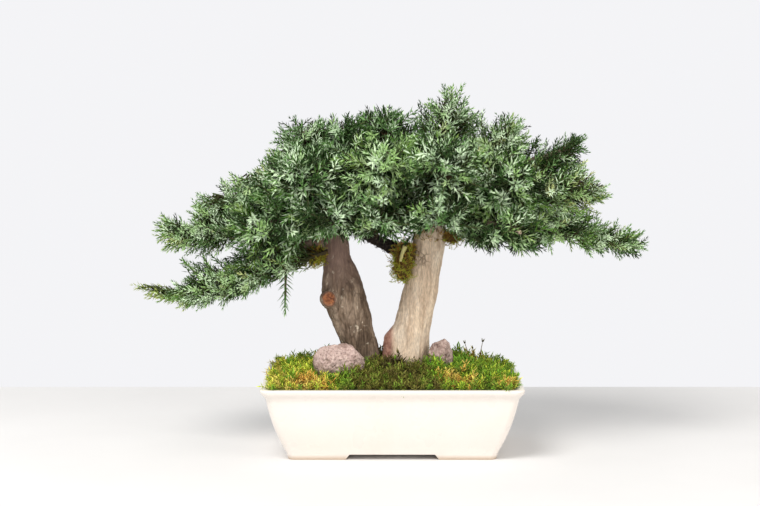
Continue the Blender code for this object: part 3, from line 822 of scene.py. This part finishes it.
star_kinds = [moss_star(height * MM, leaves) for height, leaves in ((3.4, 7), (4.6, 8), (6.4, 10))]
feather_kinds = [
    moss_feather(length * MM, leaves, bend)
    for length, leaves, bend in ((7, 16, 1.5), (9, 19, 2.2), (6, 13, 2.8))
]

# Where the moss is old or changes colour: x, y, reach in mm, and the tint that it takes there.
MOSS_PATCHES = (
    (-62, -50, 15, 0.97), (-50, -53, 9, 0.90), (-74, -52, 8, 0.86), (42, -44, 11, 0.90), (56, -50, 8, 0.86),
    (82, -48, 9, 0.93), (30, -52, 8, 0.25), (-88, -20, 14, 0.84), (-70, -8, 18, 0.74), (8, 40, 12, 0.88),
    (-40, 44, 14, 0.78), (64, 34, 14, 0.84), (0, -22, 12, 0.12),
)


def noise_at(points, size):
    return np.array([noise.noise(Vector(point) / size) for point in points])


def moss_tints(points, rng):
    """Yellow-green on the left, olive brown in the middle and fresh green on the right, with the patches."""
    x, y = points[:, 0] / MM, points[:, 1] / MM
    tints = np.interp(x, (-95, -45, -22, 18, 34, 95), (0.74, 0.66, 0.34, 0.30, 0.56, 0.60))
    for patch_x, patch_y, reach, tint in MOSS_PATCHES:
        share = np.exp(-((x - patch_x) ** 2 + (y - patch_y) ** 2) / (0.6 * reach) ** 2)
        tints = np.where(rng.random(len(x)) < share * 1.25, tint, tints)
    return np.clip(tints + 0.22 * noise_at(points, 5 * MM) + rng.normal(0, 0.07, len(x)), 0, 0.999)


# Single seedlings in the moss: the sheet, foot and head in mm, the size of the leaves and their tint.
SPROUTS = (
    ("moss_back_right", (60, 12, 58), (55, 11, 76), 1.3, 0.10),
    ("moss_back_right", (62, 12, 58), (61, 12, 72), 1.2, 0.10),
    ("moss_back_right", (63, 12, 58), (68, 12, 77), 1.4, 0.12),
    ("moss_front_middle", (5, -24, 57), (2, -26, 70), 1.5, 0.50),
    ("moss_front_right", (30, -40, 55), (31, -42, 60), 1.6, 0.86),
    ("moss_front_left", (-76, -40, 54), (-78, -42, 63), 1.3, 0.60),
)


# How far from the pot's middle, along and across it in mm, the shoots start to lean out, and over what width.
LEANING_FROM, LEANING_WIDTH = (76, 48), 12


def grow_moss(node_name, piece_name, stars, feathers, rng):
    """A sheet of moss: the node's shape made uneven, with star shoots and feathery strands on its top."""
    cushion = frame_copy(node_name, f"{piece_name}_cushion")
    remesh(cushion, 1.5 * MM, 3)
    displace(cushion, "CLOUDS", 6 * MM, 2.6 * MM, noise_depth=3, middle=0.75)
    base = skin_shape(cushion, 0.02, rng)
    middles = base["points"][base["faces"]].mean(axis=1)
    shapes, tints = [base], [moss_tints(middles, rng)]
    for count, kinds, upright, spread in (
        (stars, star_kinds, 0.8, 0.34),
        (feathers, feather_kinds, 0.25, 0.8),
    ):
        places, normals = scatter(cushion, count, rng, 0.05)
        grown = noise_at(places, 9 * MM)
        # Near the lip of the pot the shoots lean out over it.
        beyond = np.clip(np.abs(places[:, :2]) / MM - LEANING_FROM, 0, LEANING_WIDTH)
        leaning = beyond / LEANING_WIDTH * np.sign(places[:, :2])
        along = normals + [[0, 0, upright]] + rng.normal(0, spread, places.shape)
        along[:, :2] += 1.1 * leaning
        axes = turned_axes(along, rng.normal(0, 1, places.shape))
        scales = (0.95 + 0.6 * grown) * rng.uniform(0.7, 1.3, count)
        local_tints = moss_tints(places, rng)
        if kinds is feather_kinds:
            local_tints = np.clip(local_tints * rng.uniform(0.7, 1.15, count), 0, 0.999)
        chosen = rng.integers(len(kinds), size=count)
        grown_shapes, grown_tints = stamp_kinds(kinds, chosen, places, axes, scales, local_tints)
        shapes += grown_shapes
        tints += grown_tints
    for sprout_node, foot, head, leaf_scale, tint in SPROUTS:
        if sprout_node == node_name:
            foot, head = np.array(foot) * MM, np.array(head) * MM
            middle = (foot + head) / 2 + [0.6 * MM, 0, 0]
            stalk = stem([foot, middle, head], np.array([0.45, 0.35, 0.25]) * MM)
            places = np.repeat([middle, head], 4, axis=0)
            outward = head - foot + rng.normal(0, 4 * MM, places.shape)
            axes = turned_axes(outward, rng.normal(0, 1, places.shape))
            leaves = stamp(star_leaf, places, axes, np.full(8, leaf_scale))
            shapes += [stalk, leaves]
            tints += [np.full(len(stalk["faces"]), tint), np.full(len(leaves["faces"]), tint)]
    bpy.data.objects.remove(cushion)
    return plant_mesh(piece_name, shapes, tints)


def new_moss(name, shades):
    """A moss material: one shade for each tint, darker at the foot of a leaf and paler at its tip."""
    made, tree, shader = new_material(name, 0.75, 0.25)
    tint = read_attribute(tree, "tint")
    colour = add_ramp(tree, tint, shades)
    along = read_attribute(tree, "along")
    colour = multiply(tree, colour, add_ramp(tree, along, ((0.0, 0.22), (0.5, 0.85), (1.0, 1.3))))
    stalks = add_ramp(tree, read_attribute(tree, "side"), ((0.6, 0), (0.8, 1)))
    colour = mix_colours(tree, multiply(tree, stalks, (0.6, 0.6, 0.6)), colour, (0.13, 0.075, 0.02))
    tree.links.new(colour, shader.inputs["Base Color"])
    return made


moss_green = new_moss(
    "living_moss",
    (
        (0.00, (0.045, 0.040, 0.012)), (0.18, (0.150, 0.125, 0.030)), (0.34, (0.235, 0.230, 0.040)),
        (0.48, (0.210, 0.340, 0.035)), (0.60, (0.200, 0.430, 0.030)), (0.74, (0.700, 0.760, 0.070)),
        (0.86, (0.820, 0.660, 0.150)), (0.93, (0.820, 0.560, 0.130)), (1.00, (0.760, 0.360, 0.045)),
    ),
)
for node_name, stars, feathers in (
    ("moss_front_left", 1050, 280),
    ("moss_front_middle", 360, 360),
    ("moss_front_right", 1200, 360),
    ("moss_back_left", 1050, 240),
    ("moss_back_right", 1150, 260),
):
    sheet = grow_moss(node_name, f"{node_name}_cushion", stars, feathers, moss_rng)
    finish_piece(sheet, moss_green, node_name)

# ---------------------------------------------------------------------------------------------------------
# The old moss on the trunks. Three tufts of yellow and olive strands cling in the forks. The middle one also
# frays out under the dead limb in strands painted near black, partly as painted shade, and a bare pale twig
# sticks out of it.
# ---------------------------------------------------------------------------------------------------------

moss_old = new_moss(
    "old_moss",
    (
        (0.00, (0.020, 0.014, 0.006)), (0.25, (0.38, 0.19, 0.035)), (0.45, (0.48, 0.40, 0.050)),
        (0.65, (0.55, 0.62, 0.060)), (0.85, (0.70, 0.74, 0.11)), (1.00, (0.76, 0.34, 0.085)),
    ),
)
DEAD_LIMB_UNDERSIDE = np.array(((-28, 18, 161), (-16, 17, 152), (4, 13, 143), (12, 9, 139))) * MM
FRAYED_STRANDS = 90
COLLAR_HEIGHTS = (156 * MM, 165 * MM)
COLLAR_STRANDS = 110
short_feather = feather_kinds[2]
for node_name, strands, hang, tint in (
    ("moss_tuft_left", 330, -0.2, 0.52),
    ("moss_tuft_middle", 430, -0.4, 0.72),
    ("moss_tuft_right", 150, -0.1, 0.45),
):
    core = frame_copy(node_name, f"{node_name}_core")
    remesh(core, 1.3 * MM, 2)
    displace(core, "CLOUDS", 4 * MM, 3.0 * MM, noise_depth=3, middle=0.9)
    base = skin_shape(core, 0.1, moss_rng)
    places, normals = scatter(core, strands, moss_rng, -1.01)
    places = places - normals * 1.0 * MM
    along = normals + [[0, 0, hang]] + moss_rng.normal(0, 0.6, places.shape)
    axes = turned_axes(along, moss_rng.normal(0, 1, places.shape))
    scales = moss_rng.uniform(0.6, 1.15, strands)
    # The older strands at the top are orange brown, and the young ones below are yellow-green.
    lift = (places[:, 2] - places[:, 2].min()) / np.ptp(places[:, 2])
    tints = np.where(moss_rng.random(strands) < lift**1.5, moss_rng.choice([0.22, 0.97], strands), tint)
    tints = np.clip(tints + moss_rng.normal(0, 0.12, strands), 0, 0.999)
    chosen = moss_rng.integers(len(feather_kinds), size=strands)
    shapes, face_tints = stamp_kinds(feather_kinds, chosen, places, axes, scales, tints)
    shapes = [base, *shapes]
    face_tints = [np.full(len(base["faces"]), 0.15), *face_tints]
    if node_name == "moss_tuft_middle":
        # Dead strands fray out below the dead limb, from the tuft inwards, painted near black partly as
        # painted shade.
        along_limb = moss_rng.random(FRAYED_STRANDS) * 0.999 * (len(DEAD_LIMB_UNDERSIDE) - 1)
        joint, share = along_limb.astype(int), (along_limb % 1)[:, None]
        frayed = DEAD_LIMB_UNDERSIDE[joint] * (1 - share) + DEAD_LIMB_UNDERSIDE[joint + 1] * share
        downward = moss_rng.normal(0, 0.45, frayed.shape) - [[0.3, 0.4, 1.0]]
        dead_axes = turned_axes(downward, moss_rng.normal(0, 1, frayed.shape))
        dead_scales = moss_rng.uniform(0.3, 0.75, FRAYED_STRANDS)
        shapes.append(stamp(short_feather, frayed, dead_axes, dead_scales))
        face_tints.append(np.zeros(len(shapes[-1]["faces"])))
    if node_name != "moss_tuft_left":
        # A collar of brown strands hangs round the top of the right trunk, half of it from either tuft.
        first = 3 * MM if node_name == "moss_tuft_middle" else 22 * MM
        low, high = COLLAR_HEIGHTS
        skin = np.array([(*at, *out) for at, out in zip(*read_skin(right_trunk))])
        x, y, z = skin[:, :3].T
        rim = skin[(low < z) & (z < high) & (y < 12 * MM) & (first < x) & (x < first + 22 * MM)]
        rim = rim[moss_rng.integers(len(rim), size=COLLAR_STRANDS)]
        drooping = rim[:, 3:] * 0.7 + moss_rng.normal(0, 0.3, (COLLAR_STRANDS, 3)) - [[0, 0, 1.0]]
        rim_axes = turned_axes(drooping, moss_rng.normal(0, 1, (COLLAR_STRANDS, 3)))
        rim_scales = moss_rng.uniform(0.3, 0.65, COLLAR_STRANDS)
        shapes.append(stamp(short_feather, rim[:, :3], rim_axes, rim_scales))
        rim_tints = moss_rng.choice([0.2, 0.35, 0.5, 0.97], COLLAR_STRANDS)
        rim_tints = np.clip(rim_tints + moss_rng.normal(0, 0.05, COLLAR_STRANDS), 0, 0.999)
        face_tints.append(np.repeat(rim_tints, len(short_feather["faces"])))
    bpy.data.objects.remove(core)
    tuft = plant_mesh(f"{node_name}_strands", shapes, face_tints)
    finish_piece(tuft, moss_old, node_name)

twig = frame_copy("pale_twig", "bare_twig")
remesh(twig, 0.3 * MM, 2)
displace(twig, "CLOUDS", 1.6 * MM, 0.5 * MM, noise_depth=2)
bpy.ops.object.shade_smooth()
twig_wood, tree, shader = new_material("pale_wood", 0.7, 0.3)
place = object_place(tree)
lengthwise = add_noise(tree, place, 900, detail=3, stretch=(1, 1, 0.25))
colour = add_ramp(tree, lengthwise, ((0.35, (0.42, 0.38, 0.13)), (0.65, (0.68, 0.62, 0.28))))
tree.links.new(colour, shader.inputs["Base Color"])
add_bump(tree, shader, lengthwise, 0.4, 0.0003)
finish_piece(twig, twig_wood, "pale_twig")

# ---------------------------------------------------------------------------------------------------------
# The foliage. Each spray is a side shoot of the juniper: a thin woody axis that forks into short shoots, and
# every shoot carries sharp needles in threes, green outside with a pale waxy bloom on the inner face.
# ---------------------------------------------------------------------------------------------------------

needle = blade(0.92 * MM, 7.6 * MM, 0.40, 0.42)


def needle_shoot(length, bend, step, size, rng):
    """The leafy end of a shoot: whorls of three needles up a curved stem along Z, closing at its tip."""
    whorls = int(length / step)
    shares = np.repeat(np.linspace(0.0, 1.0, whorls), 3)
    turns = np.tile(np.arange(3) * 2 * np.pi / 3, whorls) + np.repeat(np.arange(whorls) * 1.05, 3)
    turns = turns + rng.normal(0, 0.12, len(turns))
    arc = shares * bend
    radius = length / bend
    line = np.stack([radius * (1 - np.cos(arc)), 0 * arc, radius * np.sin(arc)], axis=1)
    ahead = np.stack([np.sin(arc), 0 * arc, np.cos(arc)], axis=1)
    level = np.stack([np.cos(arc), 0 * arc, -np.sin(arc)], axis=1)
    outward = np.cos(turns)[:, None] * level + np.sin(turns)[:, None] * np.array([[0, 1.0, 0]])
    opening = np.radians(58 - 40 * shares**1.6) + rng.normal(0, 0.10, len(shares))
    along = np.sin(opening)[:, None] * outward + np.cos(opening)[:, None] * ahead
    facing = np.sin(opening)[:, None] * ahead - np.cos(opening)[:, None] * outward
    scales = size * (1 - 0.38 * shares**3) * rng.uniform(0.82, 1.12, len(shares))
    leaves = stamp(needle, line, turned_axes(along, facing), scales)
    wood = stem(line[::6], np.linspace(0.42, 0.2, len(line[::6])) * MM)
    return gather([leaves, wood])


foliage_rng = np.random.default_rng(5)
long_shoots = [
    needle_shoot(length * MM, bend, 2.5 * MM, 1.0, foliage_rng)
    for length, bend in ((11, 0.3), (13, 0.6), (15, 0.4), (17, 0.8), (12, 0.9))
]
short_shoots = [
    needle_shoot(length * MM, bend, 1.9 * MM, 0.72, foliage_rng)
    for length, bend in ((11, 0.4), (13, 0.7), (15, 0.5), (9, 0.3))
]

# Each kind's shoots; below which level of noise the crown has a gap, and below which its shoots are painted
# dark as shade between the clumps; and the palest tint that it takes.
SHOOTS = {"long": (long_shoots, -0.17, -0.10, 0.76), "short": (short_shoots, -0.25, -0.46, 0.88)}

# Each spray: where it leaves its limb, its tip, half its width and thickness, in mm; then how many shoots it
# has, how far they sweep towards its tip, its kind of shoots, and its shade and how much that varies.
SPRAYS = {
    "left_low_tip": ((-150, -6, 114), (-197, -7, 127), 7, 6.5, 34, 1.8, "short", 0.86, 0.08),
    "left_low_outer": ((-104, -6, 126), (-168, -9, 118), 28, 17, 190, 1.0, "short", 0.62, 0.10),
    "left_low_inner": ((-52, -14, 147), (-114, -20, 128), 27, 17, 170, 0.7, "short", 0.55, 0.12),
    "left_low_back": ((-56, 18, 152), (-120, 40, 136), 24, 17, 130, 0.7, "short", 0.42, 0.14),
    "left_hanging": ((-76, -18, 133), (-79, -19, 101), 8, 8, 9, 2.0, "long", 0.45, 0.06),
    "left_tip": ((-120, -2, 165), (-178, -5, 163), 31, 17, 200, 1.0, "short", 0.63, 0.12),
    "left_shoulder": ((-98, 1, 180), (-146, 2, 194), 27, 15, 150, 0.8, "short", 0.60, 0.14),
    "left_front": ((-58, -18, 172), (-116, -46, 168), 26, 22, 170, 0.4, "long", 0.50, 0.14),
    "left_back": ((-58, 18, 172), (-116, 48, 172), 26, 22, 140, 0.4, "long", 0.46, 0.14),
    "left_upper": ((-64, 1, 192), (-112, 3, 206), 32, 19, 170, 0.5, "short", 0.56, 0.14),
    "crown_left": ((-58, 0, 200), (-70, 0, 252), 26, 26, 170, 0.3, "short", 0.44, 0.14),
    "crown_left_front": ((-52, -22, 194), (-74, -74, 214), 27, 26, 170, 0.3, "long", 0.46, 0.14),
    "crown_left_back": ((-52, 22, 194), (-74, 76, 214), 27, 26, 140, 0.3, "long", 0.46, 0.14),
    "crown_inner_left": ((-36, 0, 205), (-32, 0, 252), 22, 30, 130, 0.3, "long", 0.36, 0.12),
    "brow_left": ((-44, -22, 176), (-40, -78, 180), 26, 18, 150, 0.3, "long", 0.44, 0.16),
    "brow_middle": ((-6, -24, 182), (-8, -80, 174), 24, 21, 150, 0.3, "long", 0.45, 0.16),
    "crown_middle": ((-4, 1, 206), (-6, 1, 256), 24, 30, 140, 0.3, "long", 0.38, 0.14),
    "crown_front": ((-6, -26, 204), (-8, -82, 222), 26, 22, 150, 0.3, "long", 0.62, 0.10),
    "crown_back": ((-4, 26, 198), (-8, 84, 214), 32, 26, 170, 0.3, "long", 0.46, 0.14),
    "apex": ((38, 0, 220), (45, 0, 273), 20, 20, 120, 0.9, "short", 0.54, 0.12),
    "right_front_high": ((34, -26, 206), (40, -84, 218), 26, 24, 170, 0.3, "long", 0.50, 0.14),
    "right_front_low": ((34, -24, 180), (36, -80, 178), 25, 17, 140, 0.3, "long", 0.42, 0.16),
    "right_back": ((38, 26, 200), (46, 86, 212), 28, 28, 160, 0.3, "long", 0.46, 0.14),
    "right_upper": ((62, 1, 206), (96, 2, 246), 27, 22, 150, 0.4, "short", 0.60, 0.18),
    "right_upper_front": ((66, -22, 196), (96, -66, 206), 25, 21, 150, 0.4, "long", 0.52, 0.16),
    "right_upper_back": ((66, 24, 196), (100, 66, 206), 26, 22, 130, 0.4, "long", 0.46, 0.14),
    # The spray at the back right is given a low tint as painted shade: it lies in shadow behind the others.
    "right_dark": ((106, 6, 210), (150, 11, 233), 19, 13, 90, 1.3, "short", 0.30, 0.08),
    "right_middle": ((92, -1, 192), (166, 0, 195), 31, 18, 220, 1.0, "short", 0.68, 0.14),
    "right_skirt": ((52, -28, 170), (104, -56, 164), 24, 16, 130, 0.4, "long", 0.55, 0.14),
    "right_under": ((50, -2, 168), (110, -10, 156), 27, 14, 120, 0.6, "long", 0.52, 0.14),
    "right_back_low": ((58, 24, 172), (116, 48, 168), 26, 20, 130, 0.4, "long", 0.46, 0.14),
    "right_low": ((104, -6, 170), (150, -12, 158), 27, 15, 130, 0.9, "short", 0.62, 0.12),
    "right_low_tip": ((142, -5, 160), (190, -6, 151), 20, 13, 110, 1.2, "short", 0.60, 0.12),
}


def spray_body(root, tip, half_width, half_thickness):
    """The middle, the axes (as rows: along, across, up) and the half sizes of a spray's outer shape."""
    root, tip = np.array(root) * MM, np.array(tip) * MM
    along = unit(tip - root)
    level = np.cross([0, 0, 1.0], along) if abs(along[2]) < 0.85 else np.cross([0, 1.0, 0], along)
    level = unit(level)
    axes = np.stack([along, level, np.cross(along, level)])
    half = np.array([np.linalg.norm(tip - root) / 2, half_width * MM, half_thickness * MM])
    return (root + tip) / 2, axes, half


bodies = {name: spray_body(*numbers[:4]) for name, numbers in SPRAYS.items()}


def depth_in(body, points):
    """How deep points lie in a spray's shape: 0 at its middle and 1 on its skin."""
    middle, axes, half = body
    return np.linalg.norm((points - middle) @ axes.T / half, axis=1)


# Where the trunks and their old moss show from the front: x, height and reach in mm.
CLEAR_PLACES = ((-58, 145, 17), (6, 141, 12), (46, 160, 8), (-24, 146, 14))
# The grower clips the crown to this outline from the front, x and height in mm, starting at its left tip.
OUTLINE = (
    (-201, 129), (-176, 119), (-164, 122), (-149, 138), (-175, 149), (-179, 161), (-172, 178), (-160, 170),
    (-150, 168), (-147, 190), (-136, 182), (-125, 187), (-128, 206), (-114, 202), (-102, 208), (-93, 222),
    (-89, 237), (-74, 251), (-60, 247), (-35, 245), (-17, 255), (10, 258), (37, 264), (41, 275), (50, 274),
    (58, 260), (66, 253), (96, 251), (108, 229), (122, 234), (150, 236), (142, 214), (157, 200), (166, 186),
    (180, 165), (192, 157), (187, 137), (160, 144), (147, 142), (128, 156), (104, 140), (86, 156), (77, 143),
    (60, 150), (46, 163), (30, 166), (16, 160), (6, 154), (0, 146), (-8, 145), (-14, 155), (-26, 160),
    (-36, 153), (-48, 146), (-56, 133), (-88, 129), (-98, 117), (-122, 107), (-140, 102), (-157, 101),
    (-176, 110), (-202, 122),
)
FRONT_EYE = np.array((-9, -1400, 293)) * MM


def within_outline(points):
    """Whether points lie inside the outline, looking from the front."""
    nearness = FRONT_EYE[1] / (FRONT_EYE[1] - points[:, 1])
    flat = FRONT_EYE + (points - FRONT_EYE) * nearness[:, None]
    x, height = flat[:, 0] / MM, flat[:, 2] / MM
    inside = np.zeros(len(x), bool)
    for (x1, z1), (x2, z2) in zip(OUTLINE, OUTLINE[1:] + OUTLINE[:1]):
        if z1 != z2:
            crossing = x1 + (height - z1) * (x2 - x1) / (z2 - z1)
            inside ^= ((z1 > height) != (z2 > height)) & (x < crossing)
    return inside


def grow_spray(name, rng):
    """A spray: shoots spread over its outer shape, each on its own twig from the axis."""
    root, tip, half_width, half_thickness, count, sweep, kind, shade, variety = SPRAYS[name]
    middle, axes, half = bodies[name]
    root, tip = np.array(root) * MM, np.array(tip) * MM
    shoots, gap_level, painted_shade_level, palest = SHOOTS[kind]
    # Evenly spread directions on a ball give each shoot its own patch of the spray's skin.
    tries = int(count * 1.5)
    steps = np.arange(tries) + 0.5
    height = 1 - 2 * steps / tries
    turns = np.pi * (1 + 5**0.5) * steps
    around = np.sqrt(1 - height**2)
    ball = np.stack([height, around * np.cos(turns), around * np.sin(turns)], axis=1)
    ball = unit(ball + rng.normal(0, 0.10, ball.shape))
    inner = rng.random(tries) < 0.22
    reach = np.where(inner, rng.uniform(0.45, 0.75, tries), rng.uniform(0.84, 1.03, tries))
    # A second lot of shoots reaches further out, and fills the valleys between this spray and its neighbours.
    ball = np.concatenate([ball, unit(ball + rng.normal(0, 0.2, ball.shape))])
    reach = np.concatenate([reach, rng.uniform(1.08, 1.5, tries)])
    # A few more sit close to the axis all along it, and clothe the limb.
    few = count // 5
    collar = unit(rng.normal(0, 1, (few, 3)) * [0.05, 1, 1])
    along_axis = rng.uniform(-0.95, 0.5, few)
    off_axis = collar[:, 1:] * rng.uniform(0.35, 0.6, (few, 1))
    near_axis = np.column_stack([along_axis, off_axis])
    distances = np.linalg.norm(near_axis, axis=1)
    ball = np.concatenate([ball, near_axis / distances[:, None]])
    reach = np.concatenate([reach, distances])
    tips = middle + (ball * half * reach[:, None]) @ axes
    depths = np.array([depth_in(body, tips) for other, body in bodies.items() if other != name])
    deepest = depths.min(axis=0)
    hidden = (reach > 1.05) & (deepest > 1.45) | (deepest < 0.72)
    for x, height, clear_reach in CLEAR_PLACES:
        beside = np.linalg.norm(tips[:, [0, 2]] - np.array([x, height]) * MM, axis=1) < clear_reach * MM
        hidden |= beside & (tips[:, 1] < 6 * MM)
    outward = unit((ball / half) @ axes)
    collared = np.arange(len(tips)) >= 2 * tries
    grown = (noise_at(tips, 13 * MM) > gap_level) & (ball[:, 0] > -0.86)
    keep = ~hidden & (grown | collared) & within_outline(tips + outward * 1.5 * MM)
    tips, ball, reach = tips[keep], ball[keep], reach[keep]
    outward = unit((ball / half) @ axes)
    # Each shoot leaves the spray's axis a little behind its tip, and turns outwards and up.
    share = np.clip((ball[:, 0] * reach + 1) / 2 - 0.28, 0.02, 0.9)
    attach = root + (tip - root) * share[:, None]
    heading = unit(tips - attach) * 0.8 + outward * 0.45 + axes[0] * 0.35 * sweep + [[0, 0, 0.22]]
    heading = unit(heading + rng.normal(0, 0.24, heading.shape))
    chosen = rng.integers(len(shoots), size=len(tips))
    scales = rng.uniform(0.8, 1.15, len(tips))
    # Clumps of paler growth stand out against darker growth between them: partly new growth against old,
    # partly painted light on the clumps and painted shade in the gaps between them.
    clumps_growth_and_shade = noise_at(tips, 10 * MM)
    tints = np.clip(rng.normal(shade, variety * 0.6, len(tips)) + 0.40 * clumps_growth_and_shade, 0.13, palest)
    tints = np.where(clumps_growth_and_shade < painted_shade_level, rng.uniform(0.08, 0.26, len(tips)), tints)
    # Shoots deep inside the spray are painted near black and brown: painted shade, partly dead inner growth
    # too.
    tints = np.where((reach < 0.8) & ~collared[keep], rng.uniform(0.0, 0.2, len(tips)), tints)
    spin = rng.normal(0, 1, tips.shape)
    lengths = np.array([np.ptp(shoot["points"][:, 2]) for shoot in shoots])
    starts = tips - heading * (lengths[chosen] * scales * 0.86)[:, None]
    placed = turned_axes(heading, spin)
    shapes, face_tints = stamp_kinds(shoots, chosen, starts, placed, scales, tints)
    # The woody twig of each shoot, and the axis that they all spring from.
    for start, from_axis, ahead in zip(starts, attach, heading):
        bend = start - ahead * np.linalg.norm(start - from_axis) * 0.4
        line = [from_axis, (from_axis + bend) / 2 * 0.5 + (bend + start) / 2 * 0.5, start]
        twig_shape = stem(line, [0.75 * MM, 0.55 * MM, 0.4 * MM])
        shapes.append(twig_shape)
        face_tints.append(np.full(len(twig_shape["faces"]), 0.1))
    axis_line = [root + (tip - root) * part for part in (-0.08, 0.15, 0.35, 0.55, 0.72)]
    axis_shape = stem(axis_line, np.array([1.7, 1.4, 1.1, 0.8, 0.5]) * MM, sides=6)
    shapes.append(axis_shape)
    face_tints.append(np.full(len(axis_shape["faces"]), 0.1))
    return plant_mesh(f"foliage_{name}", shapes, face_tints)


def grow_hanging_shoot(name, rng):
    """The one long shoot that hangs by itself below the left limb."""
    root, tip = np.array((-78, -17.5, 134)) * MM, np.array(SPRAYS[name][1]) * MM
    shoot = needle_shoot(np.linalg.norm(tip - root) - 4 * MM, 0.12, 2.4 * MM, 1.12, rng)
    axes = turned_axes((tip - root)[None], np.array([[1.0, 0.2, 0]]))
    hung = stamp(shoot, root[None], axes, np.ones(1))
    line = [root - (tip - root) * 0.15, root, root + (tip - root) * 0.8]
    stalk = stem(line, np.array([0.9, 0.7, 0.4]) * MM)
    tints = [np.full(len(hung["faces"]), 0.5), np.full(len(stalk["faces"]), 0.1)]
    return plant_mesh(f"foliage_{name}", [hung, stalk], tints)


needle_green, tree, shader = new_material("juniper_needles", 0.5, 0.16)
tint = read_attribute(tree, "tint")
outer = add_ramp(
    tree,
    tint,
    (
        (0.00, (0.050, 0.028, 0.010)), (0.10, (0.006, 0.013, 0.002)), (0.28, (0.010, 0.032, 0.003)),
        (0.42, (0.032, 0.096, 0.010)), (0.55, (0.075, 0.175, 0.036)), (0.68, (0.090, 0.210, 0.026)),
        (0.80, (0.200, 0.310, 0.064)), (0.92, (0.340, 0.390, 0.095)), (1.00, (0.420, 0.380, 0.100)),
    ),
)
inner = add_ramp(
    tree,
    tint,
    (
        (0.00, (0.090, 0.055, 0.026)), (0.10, (0.010, 0.022, 0.005)), (0.28, (0.030, 0.080, 0.016)),
        (0.42, (0.170, 0.320, 0.110)), (0.52, (0.640, 0.800, 0.560)), (0.62, (0.680, 0.840, 0.560)),
        (0.68, (0.270, 0.480, 0.140)), (0.80, (0.500, 0.650, 0.330)), (0.92, (0.620, 0.670, 0.300)),
        (1.00, (0.620, 0.540, 0.190)),
    ),
)
side = read_attribute(tree, "side")
colour = mix_colours(tree, add_ramp(tree, side, ((0.2, 0), (0.4, 1))), outer, inner)
along = read_attribute(tree, "along")
foot = add_ramp(tree, along, ((0.0, 0.55), (0.3, 0.0), (1.0, 0.0)))
colour = mix_colours(tree, foot, colour, (0.14, 0.22, 0.06))
point = add_ramp(tree, along, ((0.82, 0), (1.0, 0.7)))
colour = mix_colours(tree, point, colour, (0.50, 0.58, 0.36))
woody = add_ramp(tree, side, ((0.6, 0), (0.8, 1)))
wood_colour = add_ramp(tree, along, ((0.0, (0.060, 0.042, 0.022)), (1.0, (0.085, 0.120, 0.040))))
colour = mix_colours(tree, woody, colour, wood_colour)
tree.links.new(colour, shader.inputs["Base Color"])
tree.links.new(add_ramp(tree, side, ((0.2, 0.42), (0.5, 0.6), (1.0, 0.85))), shader.inputs["Roughness"])
for name in SPRAYS:
    grow = grow_hanging_shoot if name == "left_hanging" else grow_spray
    finish_piece(grow(name, foliage_rng), needle_green, f"spray_{name}")

# ---------------------------------------------------------------------------------------------------------
# The studio. A pale table top, a pale surround, soft light from the front left and above, and a camera a
# little above the pot's lip.
# ---------------------------------------------------------------------------------------------------------

deselect()
bpy.ops.mesh.primitive_cube_add(size=1, location=(0, -0.6065, -0.01))
table = bpy.context.object
table.name = "table"
table.scale = (4, 1.727, 0.02)
bpy.ops.object.transform_apply(location=True, rotation=True, scale=True)
table_finish, tree, shader = new_material("table_paint", 0.6, 0.3)
place = object_place(tree)
mottle = add_noise(tree, place, 6, detail=5)
colour = add_ramp(tree, mottle, ((0.3, (0.735, 0.725, 0.72)), (0.7, (0.775, 0.765, 0.76))))
tree.links.new(colour, shader.inputs["Base Color"])
table.data.materials.append(table_finish)

world = bpy.data.worlds.new("pale_room")
bpy.context.scene.world = world
world.use_nodes = True
room = world.node_tree
seen = room.nodes["Background"]
seen.inputs["Color"].default_value = (0.905, 0.905, 0.925, 1)
lit = room.nodes.new("ShaderNodeBackground")
lit.inputs["Color"].default_value = (0.95, 0.96, 0.97, 1)
lit.inputs["Strength"].default_value = 0.70
choice = room.nodes.new("ShaderNodeMixShader")
room.links.new(room.nodes.new("ShaderNodeLightPath").outputs["Is Camera Ray"], choice.inputs["Fac"])
room.links.new(lit.outputs[0], choice.inputs[1])
room.links.new(seen.outputs[0], choice.inputs[2])
room.links.new(choice.outputs[0], room.nodes["World Output"].inputs["Surface"])


def add_softbox(name, place, size, power, colour):
    """A soft square light that looks at the middle of the tree."""
    lamp = bpy.data.lights.new(name, "AREA")
    lamp.shape = "SQUARE"
    lamp.size = size
    lamp.energy = power
    lamp.color = colour
    made = bpy.data.objects.new(name, lamp)
    made.location = place
    made.rotation_euler = (Vector(place) - Vector((0, 0, 0.12))).to_track_quat("Z", "Y").to_euler()
    bpy.context.scene.collection.objects.link(made)


add_softbox("key_light", (-0.6, -1.0, 1.4), 0.8, 27.5, (1.0, 0.98, 0.95))
add_softbox("fill_light", (1.2, -1.0, 0.7), 1.0, 8, (1.0, 0.93, 0.85))

lens = bpy.data.cameras.new("camera")
lens.lens = 90
lens.sensor_width = 36
camera = bpy.data.objects.new("camera", lens)
camera.location = (-0.0089, -1.3994, 0.293)
camera.rotation_euler = (math.radians(84), 0, 0)
bpy.context.scene.collection.objects.link(camera)
bpy.context.scene.camera = camera
bpy.context.scene.view_settings.view_transform = "Standard"
